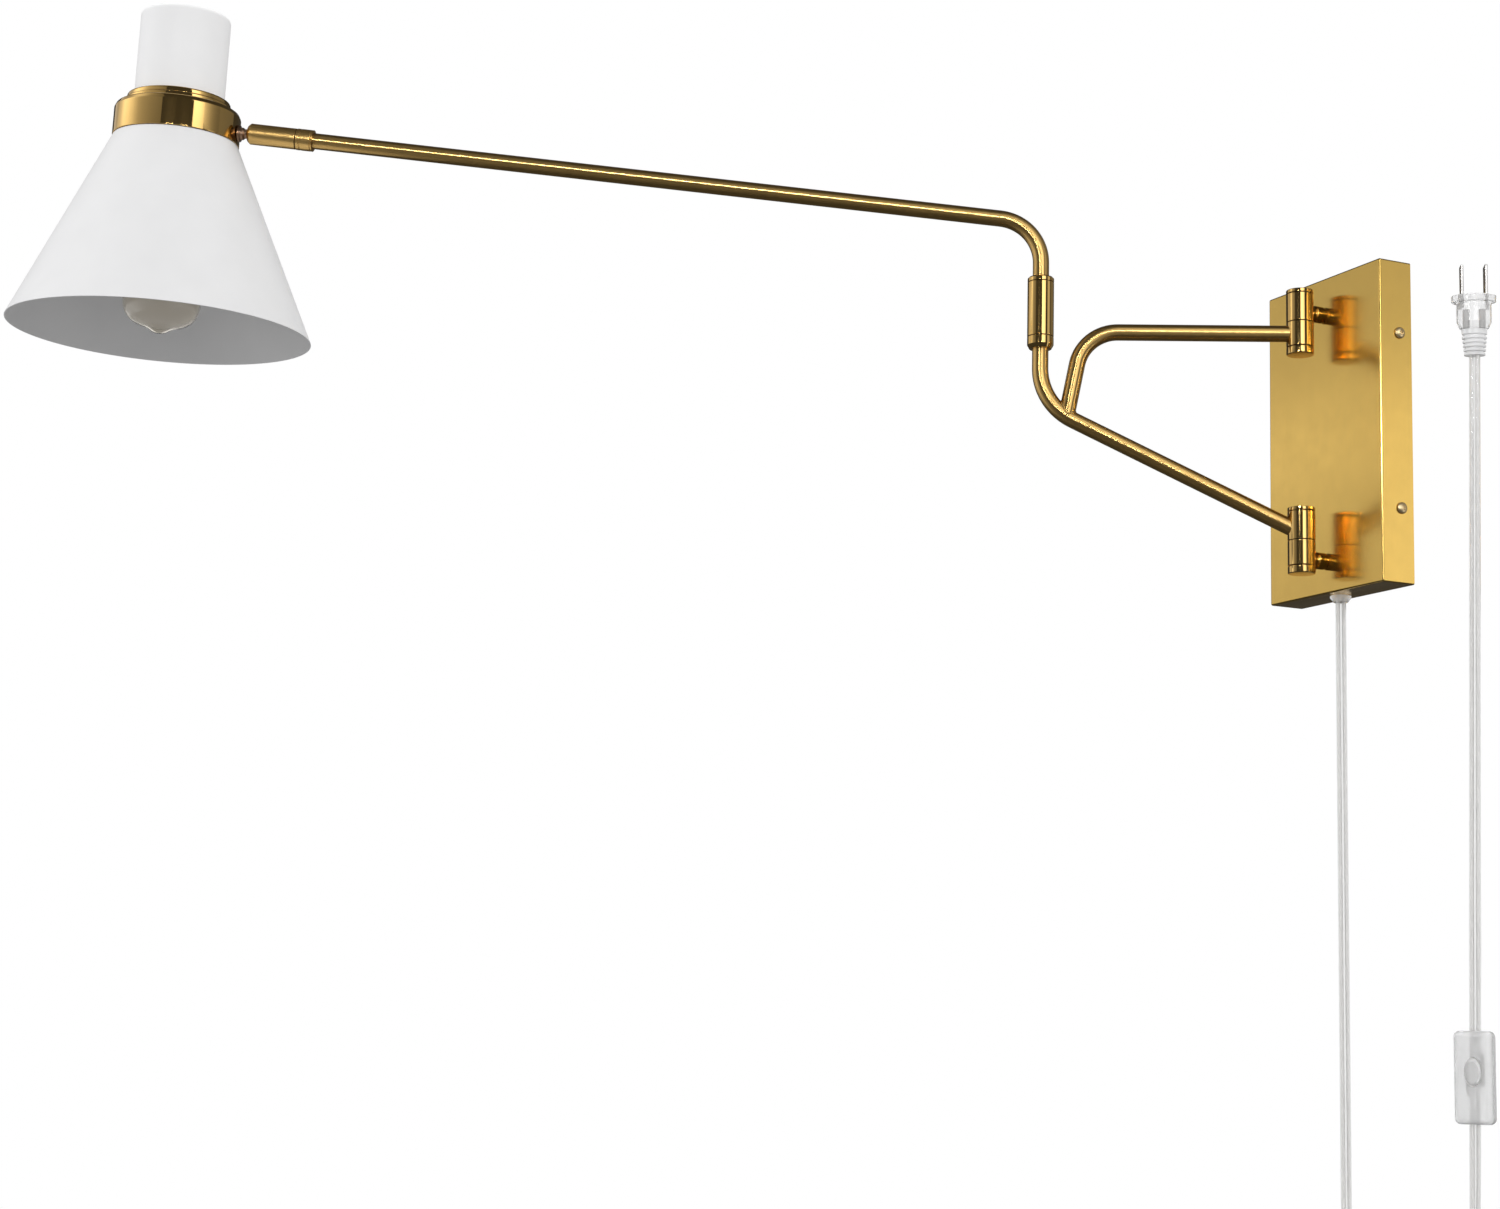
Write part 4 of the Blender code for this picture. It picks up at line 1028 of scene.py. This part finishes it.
def make_knuckle_studs(column):
    """The studs between the box and the knuckles, with a thinner neck at the knuckle."""
    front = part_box("canopy")[0].y
    upper, lower = seam_heights()
    for word, z in (("upper", upper + 6.6 * MM), ("lower", lower - 10.4 * MM)):
        long = front - column.y - KNUCKLE_R + 2.4 * MM
        place = move(0, front, z) @ spin(pi / 2, "X")
        turned(f"{word}_knuckle_stud", place, "wall_side", "brass", (f"{word}_stud",),
            [(0, long), (STUD_R - 1.0 * MM, long), (STUD_R - 1.0 * MM, long - 3.6 * MM),
            (STUD_R, long - 4.2 * MM), (STUD_R, 1.6 * MM), (STUD_R - 0.5 * MM, 1.0 * MM),
            (STUD_R - 0.5 * MM, SEAM), (3.6 * MM, SEAM), (3.6 * MM, -7 * MM), (0, -7 * MM)], 0.25 * MM, 56)


def barrel(name, top, bottom, place, body, node, recess=0.0, edge=0.35 * MM):
    """Half of a knuckle, bored for the pin; a recess at its foot takes the washer."""
    corners = [(HUB_BORE_R, top), (KNUCKLE_R, top), (KNUCKLE_R, bottom)]
    if recess:
        corners += [(WASHER_R + 0.1 * MM, bottom, 0), (WASHER_R + 0.1 * MM, bottom + recess, 0),
            (HUB_BORE_R, bottom + recess)]
    else:
        corners.append((HUB_BORE_R, bottom))
    turned(name, place, body, "brass", (node,), corners, edge, 72)


def knuckle_cap(name, top, bottom, place, body, node, edge):
    """A solid end cap of a knuckle."""
    turned(name, place, body, "brass", (node,),
        [(0, top), (KNUCKLE_R, top), (KNUCKLE_R, bottom), (0, bottom)], edge, 72)


def washer(name, bottom, bore, place, body, node):
    """A thin black washer, sunk in the half above it."""
    turned(name, place, body, "black", (node,),
        [(bore, bottom + WASHER_H), (WASHER_R, bottom + WASHER_H), (WASHER_R, bottom), (bore, bottom)],
        0.1 * MM, 64, 2)


def make_knuckles(column, azimuth):
    """Both knuckles: the halves on the wall side and the halves that swing."""
    fixed = Matrix.Translation(column)
    swinging = turned_frame(column, azimuth)
    upper, lower = seam_heights()
    half = SEAM / 2
    recess = WASHER_H + 0.1 * MM
    barrel("upper_knuckle_wall_half", upper + HUB_H - TOP_CAP_H - SEAM, upper + half, fixed, "wall_side",
        "upper_fixed_hub", recess)
    barrel("lower_knuckle_wall_half", lower - half, lower - HUB_H + BOTTOM_CAP_H + SEAM, fixed,
        "wall_side", "lower_fixed_hub")
    knuckle_cap("upper_knuckle_top_cap", upper + HUB_H, upper + HUB_H - TOP_CAP_H, fixed, "wall_side",
        "upper_fixed_cap", 0.5 * MM)
    knuckle_cap("lower_knuckle_bottom_cap", lower - HUB_H + BOTTOM_CAP_H, lower - HUB_H, fixed,
        "wall_side", "lower_fixed_cap", 0.7 * MM)
    barrel("upper_knuckle_arm_half", upper - half, upper - HUB_H + BOTTOM_CAP_H + SEAM, swinging,
        "lower_arm", "upper_moving_hub")
    barrel("lower_knuckle_arm_half", lower + HUB_H - TOP_CAP_H - SEAM, lower + half, swinging, "lower_arm",
        "lower_moving_hub", recess)
    knuckle_cap("upper_knuckle_bottom_cap", upper - HUB_H + BOTTOM_CAP_H, upper - HUB_H, swinging,
        "lower_arm", "upper_moving_cap", 0.7 * MM)
    knuckle_cap("lower_knuckle_top_cap", lower + HUB_H, lower + HUB_H - TOP_CAP_H, swinging, "lower_arm",
        "lower_moving_cap", 0.5 * MM)
    washer("upper_seam_washer", upper + half, HUB_BORE_R, fixed, "wall_side", "upper_knuckle_washer")
    washer("lower_seam_washer", lower + half, HUB_BORE_R, fixed, "wall_side", "lower_knuckle_washer")


# ---- arms


def distance_to_path(point, path):
    """Shortest distance from a point to a path."""
    best = 1.0
    for first, second in zip(path, path[1:]):
        along = second - first
        share = min(max((point - first).dot(along) / along.length_squared, 0), 1)
        best = min(best, (point - first - along * share).length)
    return best


def make_weld(strut_end, direction, path, place):
    """The small bead where the strut is brazed onto the slanted tube."""
    side = Vector((0, 1, 0))
    over = direction.cross(side)
    around, facets = 40, 8
    ring = []
    for index in range(around):
        angle = tau * index / around
        point = strut_end - direction * 20 * MM
        point += (side * cos(angle) + over * sin(angle)) * TUBE_R * 0.99
        for _ in range(60):
            point = point + direction * (distance_to_path(point, path) - TUBE_R)
        ring.append(point)
    build = bmesh.new()
    loops = []
    for index, point in enumerate(ring):
        tangent = (ring[(index + 1) % around] - ring[index - 1]).normalized()
        across = tangent.orthogonal().normalized() if index == 0 else across
        across = (across - tangent * across.dot(tangent)).normalized()
        through = tangent.cross(across)
        swell = 0.62 * MM * (1 + 0.12 * sin(index * 2.4))
        loops.append([build.verts.new(point + across * swell * cos(tau * step / facets)
            + through * swell * sin(tau * step / facets)) for step in range(facets)])
    for index in range(around):
        first, second = loops[index], loops[(index + 1) % around]
        shift = min(range(facets), key=lambda turn: (first[0].co - second[turn].co).length)
        for step in range(facets):
            build.faces.new((first[step], first[(step + 1) % facets], second[(step + 1 + shift) % facets],
                second[(step + shift) % facets]))
    mesh = finish_mesh("strut_weld", build)
    add_piece("strut_weld", mesh, place, "lower_arm", "satin")


def make_lower_arm(place, reach):
    """The slanted tube with its upright end, and the strut brazed onto it."""
    start = KNUCKLE_R - 2.6 * MM
    corner = (reach, 0, SLANT_Z0 + reach * SLANT)
    path = bend([(start, 0, SLANT_Z0 + start * SLANT), corner, (reach, 0, SLEEVE_BOTTOM + 2.6 * MM)],
        LOWER_BEND_R)
    mesh = sweep("slanted_tube", path, [circle(TUBE_R, 40)])
    add_piece("slanted_tube", mesh, place, "lower_arm", "tube", ("lower_arm_tube",),
        smooth=60)
    foot = Vector((STRUT_FOOT[0], 0, STRUT_FOOT[1]))
    bent = bend([(start, 0, STRUT_Z), (STRUT_CORNER_X, 0, STRUT_Z), foot], STRUT_BEND_R)
    direction = (bent[-1] - bent[-2]).normalized()
    drop = foot.z - SLANT_Z0 - foot.x * SLANT
    bent[-1] = foot + direction * drop / (direction.x * SLANT - direction.z)
    mesh = sweep("bent_strut", bent, [circle(TUBE_R, 40)])
    add_piece("bent_strut", mesh, place, "lower_arm", "tube", ("strut_tube",), smooth=60)
    make_weld(bent[-1], direction, path, place)


def make_pivot(hinge_place, pivot_place, reach):
    """The middle pivot's foot ring, washer, barrel and top ring."""
    ring_top = SLEEVE_BOTTOM + LOWER_RING_H
    barrel_top = SLEEVE_TOP - UPPER_RING_H
    turned("pivot_foot_ring", hinge_place @ move(reach, 0, 0), "lower_arm", "brass",
        ("pivot_lower_ring",), [(RING_BORE_R, ring_top), (SLEEVE_R, ring_top),
        (SLEEVE_R, SLEEVE_BOTTOM + 2.4 * MM), (SLEEVE_R - 1.3 * MM, SLEEVE_BOTTOM),
        (RING_BORE_R, SLEEVE_BOTTOM)], 0.35 * MM, 72)
    washer("pivot_seam_washer", ring_top + SEAM, SLEEVE_BORE_R, pivot_place, "upper_arm", "pivot_washer")
    turned("pivot_sleeve", pivot_place, "upper_arm", "brass", ("pivot_barrel",),
        [(SLEEVE_BORE_R, barrel_top - SEAM), (SLEEVE_R, barrel_top - SEAM), (SLEEVE_R, ring_top + SEAM),
        (WASHER_R + 0.1 * MM, ring_top + SEAM, 0), (WASHER_R + 0.1 * MM, ring_top + 1.1 * MM, 0),
        (SLEEVE_BORE_R, ring_top + 1.1 * MM)], 0.3 * MM, 72)
    turned("pivot_top_ring", pivot_place, "upper_arm", "brass", ("pivot_upper_ring",),
        [(RING_BORE_R, SLEEVE_TOP), (SLEEVE_R - 0.9 * MM, SLEEVE_TOP), (SLEEVE_R, SLEEVE_TOP - 0.9 * MM),
        (SLEEVE_R, barrel_top), (RING_BORE_R, barrel_top)], 0.3 * MM, 72)


def make_upper_arm(pivot_place, swivel_place):
    """The long tube and the grooved ring at its end."""
    end = BALL_X + (END_RING_FRONT - 1.2 * MM) * cos(ARM_RISE)
    path = bend([(0, 0, SLEEVE_TOP - 2.6 * MM), (0, 0, ARM_Z0), (end, 0, ARM_Z0 + end * tan(ARM_RISE))],
        ARM_BEND_R)
    mesh = sweep("long_tube", path, [circle(TUBE_R, 40)])
    add_piece("long_tube", mesh, pivot_place, "upper_arm", "tube", ("upper_arm_tube",),
        smooth=60)
    front, back = END_RING_FRONT, END_RING_BACK
    turned("arm_end_collar", swivel_place, "upper_arm", "satin", ("arm_end_ring",),
        [(3.4 * MM, front), (END_RING_R, front), (END_RING_R, front - 1.9 * MM),
        (END_RING_R - 0.3 * MM, front - 2.1 * MM), (END_RING_R - 0.3 * MM, front - 2.5 * MM),
        (END_RING_R, front - 2.7 * MM), (END_RING_R, back + 1.4 * MM),
        (END_RING_R - 0.3 * MM, back + 1.2 * MM), (END_RING_R - 0.3 * MM, back + 0.9 * MM),
        (END_RING_R, back + 0.7 * MM), (END_RING_R, back), (TUBE_R - 0.2 * MM, back),
        (TUBE_R - 0.2 * MM, front - 1 * MM), (3.4 * MM, front - 1 * MM)], 0.15 * MM, 64)


# ---- head


def make_handle(swivel_place):
    """The turning handle, chamfered at the front, with the ball's mouth."""
    mouth = BALL_R + SEAM
    arc = []
    for step in range(7):
        angle = radians(56 + step * 14)
        arc.append((mouth * sin(angle), mouth * cos(angle), 0))
    corners = [(mouth * sin(radians(56)), HANDLE_FRONT), (HANDLE_R - 1.4 * MM, HANDLE_FRONT),
        (HANDLE_R, HANDLE_FRONT - 1.6 * MM), (HANDLE_R, HANDLE_BACK), (3.0 * MM, HANDLE_BACK),
        (3.0 * MM, -6.5 * MM)]
    turned("turning_handle", swivel_place, "swivel_handle", "satin", ("swivel_handle",),
        corners + arc[::-1], 0.3 * MM, 64)


def make_ball(head_place):
    """The ball, its waisted neck and the flange against the collar."""
    flange = NECK_TO_BALL - SEAM
    ball = []
    for step in range(13):
        angle = radians(36 + step * 10.5)
        ball.append((BALL_R * sin(angle), BALL_R * cos(angle), 0))
    turned("ball_and_neck", head_place, "head", "aged", ("swivel_ball",),
        [(0, flange + 8 * MM), (2.9 * MM, flange + 8 * MM), (2.9 * MM, flange), (5.0 * MM, flange),
        (5.0 * MM, flange - 1.3 * MM), (3.7 * MM, flange - 1.3 * MM), (3.7 * MM, flange - 3.0 * MM),
        (2.8 * MM, flange - 4.2 * MM), *ball, (0, ball[-1][1])], 0.2 * MM, 56)


def make_collar(axis):
    """The polished band with its stepped, rounded lip."""
    top = BAND_TOP
    lip = top + LIP_H
    bead = lip - 2.9 * MM
    turned("polished_collar", axis, "head", "collar", ("collar_ring",),
        [(NECK_R - 2.2 * MM, lip - 3 * MM), (NECK_R + 0.4 * MM, lip - 3 * MM), (NECK_R + 0.4 * MM, lip),
        (NECK_R + 3.9 * MM, lip, 1.3 * MM), (NECK_R + 3.9 * MM, bead, 0.4 * MM),
        (NECK_R + 3.7 * MM, bead, 0.1 * MM), (NECK_R + 3.7 * MM, bead - 0.3 * MM, 0.1 * MM),
        (NECK_R + 5.4 * MM, bead - 0.4 * MM, 1.1 * MM), (NECK_R + 5.4 * MM, bead - 2.5 * MM, 0.4 * MM),
        (NECK_R + 5.9 * MM, bead - 2.9 * MM, 0.2 * MM), (COLLAR_R - 1.2 * MM, top + 1.0 * MM, 1.6 * MM),
        (COLLAR_R, top - 1.6 * MM, 1.6 * MM), (COLLAR_R, top - BAND_H, 0.4 * MM),
        (COLLAR_R - 3 * MM, top - BAND_H), (COLLAR_R - 3 * MM, top - 1.5 * MM),
        (NECK_R - 2.2 * MM, top + 2 * MM)], 0.3 * MM, 144)


def make_neck(axis):
    """The white cup over the collar."""
    top = BAND_TOP + NECK_H
    bottom = BAND_TOP + LIP_H - 3 * MM + SEAM
    turned("shade_cup", axis, "head", "cup", ("shade_neck",),
        [(0, top), (NECK_R, top, 2.6 * MM), (NECK_R, bottom, 0.1 * MM), (NECK_R - SHEET, bottom, 0.1 * MM),
        (NECK_R - SHEET, top - SHEET, 1.8 * MM), (0, top - SHEET)], 0.2 * MM, 144, 8)


def make_shade(axis):
    """The spun cone with a fine rounded rim."""
    top = BAND_TOP - BAND_H - SEAM
    bottom = top - SHADE_H
    spigot = COLLAR_R - 3 * MM - SEAM
    turned("cone_shade", axis, "head", "white", ("shade_cone",),
        [(spigot - SHEET, top + 1.2 * MM), (spigot, top + 1.2 * MM), (spigot, top),
        (SHADE_TOP_R, top, 0.5 * MM), (SHADE_RIM_R, bottom, 0.3 * MM),
        (SHADE_RIM_R - SHEET, bottom, 0.3 * MM), (SHADE_TOP_R - SHEET, top - SHEET),
        (spigot - SHEET, top - SHEET)], 0.2 * MM, 192)


def make_holder(axis):
    """The lampholder, with its skirt's grooves."""
    top = HOLDER_TOP - SEAM - 1.3 * MM
    skirt = []
    for groove in range(4):
        low = top - (18 + 8 * groove) * MM
        skirt += [(17.5 * MM, low), (17.0 * MM, low - 0.5 * MM), (17.0 * MM, low - 1.3 * MM),
            (17.5 * MM, low - 1.8 * MM)]
    turned("bulb_holder", axis, "head", "holder", ("lampholder",),
        [(5.2 * MM, top), (9 * MM, top), (17 * MM, top - 7 * MM), (17.5 * MM, top - 12 * MM), *skirt,
        (17.5 * MM, top - 54 * MM), (15.6 * MM, top - 54 * MM), (15.6 * MM, top - 20 * MM),
        (5.2 * MM, top - 20 * MM)], 0.4 * MM, 72)
    return top - 20 * MM - SEAM


def make_bulb(axis, shell_top):
    """The clear pear bulb with its pip, glass mount, lead wires and caged filament."""
    contact = shell_top - 2 * MM
    base_low = contact - 26 * MM
    top = base_low - SEAM
    tip = BAND_TOP - BULB_TIP
    widest = tip + 17.5 * MM
    shoulder = widest + 26 * MM
    outline = [(11.5 * MM, top), (13.0 * MM, top - 1 * MM), (14.5 * MM, top - 14 * MM)]
    for step in range(13):
        angle = radians(90 - step * 7.5)
        outline.append((BULB_NECK_R + (BULB_R - BULB_NECK_R) * cos(angle), widest
            + (shoulder - widest) * sin(angle), 0))
    for radius, height in ((22.4, 14.0), (20.9, 10.4), (18.4, 7.6), (15.0, 5.6), (11.0, 4.2), (8.4, 3.4),
            (6.6, 2.45), (5.2, 1.5), (3.9, 0.7), (2.6, 0.22), (1.2, 0.04), (0, 0)):
        outline.append((radius * MM, tip + height * MM, 0))
    wall = 0.6 * MM
    inner = []
    for radius, height, *_ in reversed(outline):
        lift = wall if height < widest else 0
        inner.append((max(radius - wall, 0), height + lift, 0))
    inner[-1] = (outline[0][0] - wall, top, 0)
    turned("pear_bulb", axis, "head", "glass", ("bulb_glass",), outline + inner, 0.1 * MM,
        96, smooth=60)
    turned("bulb_mount", axis, "head", "glass", ("bulb_stem",),
        [(0, top - 1 * MM), (7.5 * MM, top - 1 * MM), (6.0 * MM, top - 5 * MM, 2 * MM),
        (3.2 * MM, top - 14 * MM, 2 * MM), (2.6 * MM, top - 20 * MM, 1 * MM),
        (1.3 * MM, top - 24 * MM, 1 * MM), (1.2 * MM, top - 50 * MM, 0.5 * MM), (0, top - 52 * MM)],
        0.4 * MM, 40)
    strands = 10
    upper, lower = top - 23 * MM, top - 49 * MM
    cage = []
    for index in range(strands):
        angle = tau * index / strands * 0.94
        wide = (6.0 * MM, 8.5 * MM) if index % 2 == 0 else (8.5 * MM, 6.0 * MM)
        heights = (upper, lower) if index % 2 == 0 else (lower, upper)
        for radius, height in zip(wide, heights):
            cage.append((radius * cos(angle), radius * sin(angle), height))
    path = smooth_curve(cage, 1.5 * MM)
    wire = sweep("filament", path, [circle(0.16 * MM, 6)])
    add_piece("filament", wire, axis, "head", "filament")
    for index, side in enumerate((-1, 1)):
        lead = smooth_curve([(side * 2.0 * MM, 0, top - 14 * MM), (side * 2.8 * MM, 0, top - 19 * MM),
            (side * 6.2 * MM, 0, top - 23 * MM)], 1 * MM)
        mesh = sweep(f"lead_wire_{index}", lead, [circle(0.3 * MM, 8)])
        add_piece(f"lead_wire_{index}", mesh, axis, "head", "steel")
    thread = [(0, contact), (4.5 * MM, contact), (8 * MM, contact - 3 * MM), (12.6 * MM, contact - 5 * MM)]
    for turn in range(6):
        low = contact - (7.0 + 3.0 * turn) * MM
        thread += [(13.2 * MM, low), (12.3 * MM, low - 1.5 * MM)]
    thread += [(13.0 * MM, base_low + 1 * MM), (13.0 * MM, base_low), (0, base_low)]
    turned("bulb_screw_base", axis, "head", "cap", ("bulb_base",), thread, 0.6 * MM, 64)


# ---- inner nodes and assembly


def paint_inner_nodes():
    """Give the CAD nodes that stay in the model their own materials."""
    groups = {
        "steel": ("mounting_bracket", "upper_stud_nut", "lower_stud_nut", "upper_knuckle_pin",
                  "lower_knuckle_pin", "pivot_spindle", "ball_nut", "carrier_plate",
                  "lamp_nipple"),
        "wire": ("lower_arm_wire", "upper_arm_wire", "wire_connector_1", "wire_connector_2"),
        "shell": ("screw_shell",),
    }
    for look, nodes in groups.items():
        for name in nodes:
            node = frame["nodes"][name]
            node.data.materials.clear()
            node.data.materials.append(LOOKS[look])


def make_sconce():
    """Every visible piece, each in the frame that it moves with."""
    column = joint_vector("wall_swing", "pos_m")
    middle = joint_vector("middle_swing", "pos_m")
    ball = joint_vector("head_tilt", "pos_m")
    out = middle - column
    azimuth = atan2(out.y, out.x)
    hinge = turned_frame(column, azimuth)
    pivot = turned_frame(middle, azimuth)
    swivel = frame_along(ball, joint_vector("head_roll", "axis"), joint_vector("head_tilt", "axis"))
    head_turn = Euler((HEAD_ROLL, HEAD_PITCH, 0)).to_matrix().to_4x4()
    head = turned_frame(ball, azimuth) @ head_turn
    axis = head @ move(NECK_TO_BALL + COLLAR_R, 0, 0) @ spin(-azimuth, "Z")
    lying = spin(pi / 2, "Y")
    make_canopy()
    make_side_screws()
    make_knuckle_studs(column)
    make_knuckles(column, azimuth)
    make_lower_arm(hinge, out.length)
    make_pivot(hinge, pivot, out.length)
    make_upper_arm(pivot, swivel)
    make_handle(swivel)
    make_ball(head @ lying)
    make_collar(axis)
    make_neck(axis)
    make_shade(axis)
    make_bulb(axis, make_holder(axis))
    paint_inner_nodes()


with open("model.json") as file:
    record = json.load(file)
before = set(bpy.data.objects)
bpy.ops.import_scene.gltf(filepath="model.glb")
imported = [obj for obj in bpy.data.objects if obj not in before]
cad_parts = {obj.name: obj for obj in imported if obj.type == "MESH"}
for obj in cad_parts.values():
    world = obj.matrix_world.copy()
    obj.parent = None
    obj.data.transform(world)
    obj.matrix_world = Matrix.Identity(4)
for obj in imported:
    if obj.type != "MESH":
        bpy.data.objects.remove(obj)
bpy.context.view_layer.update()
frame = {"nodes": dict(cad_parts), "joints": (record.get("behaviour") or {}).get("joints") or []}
LOOKS = make_looks()
make_camera()
make_cord_set()
make_sconce()
make_stage()
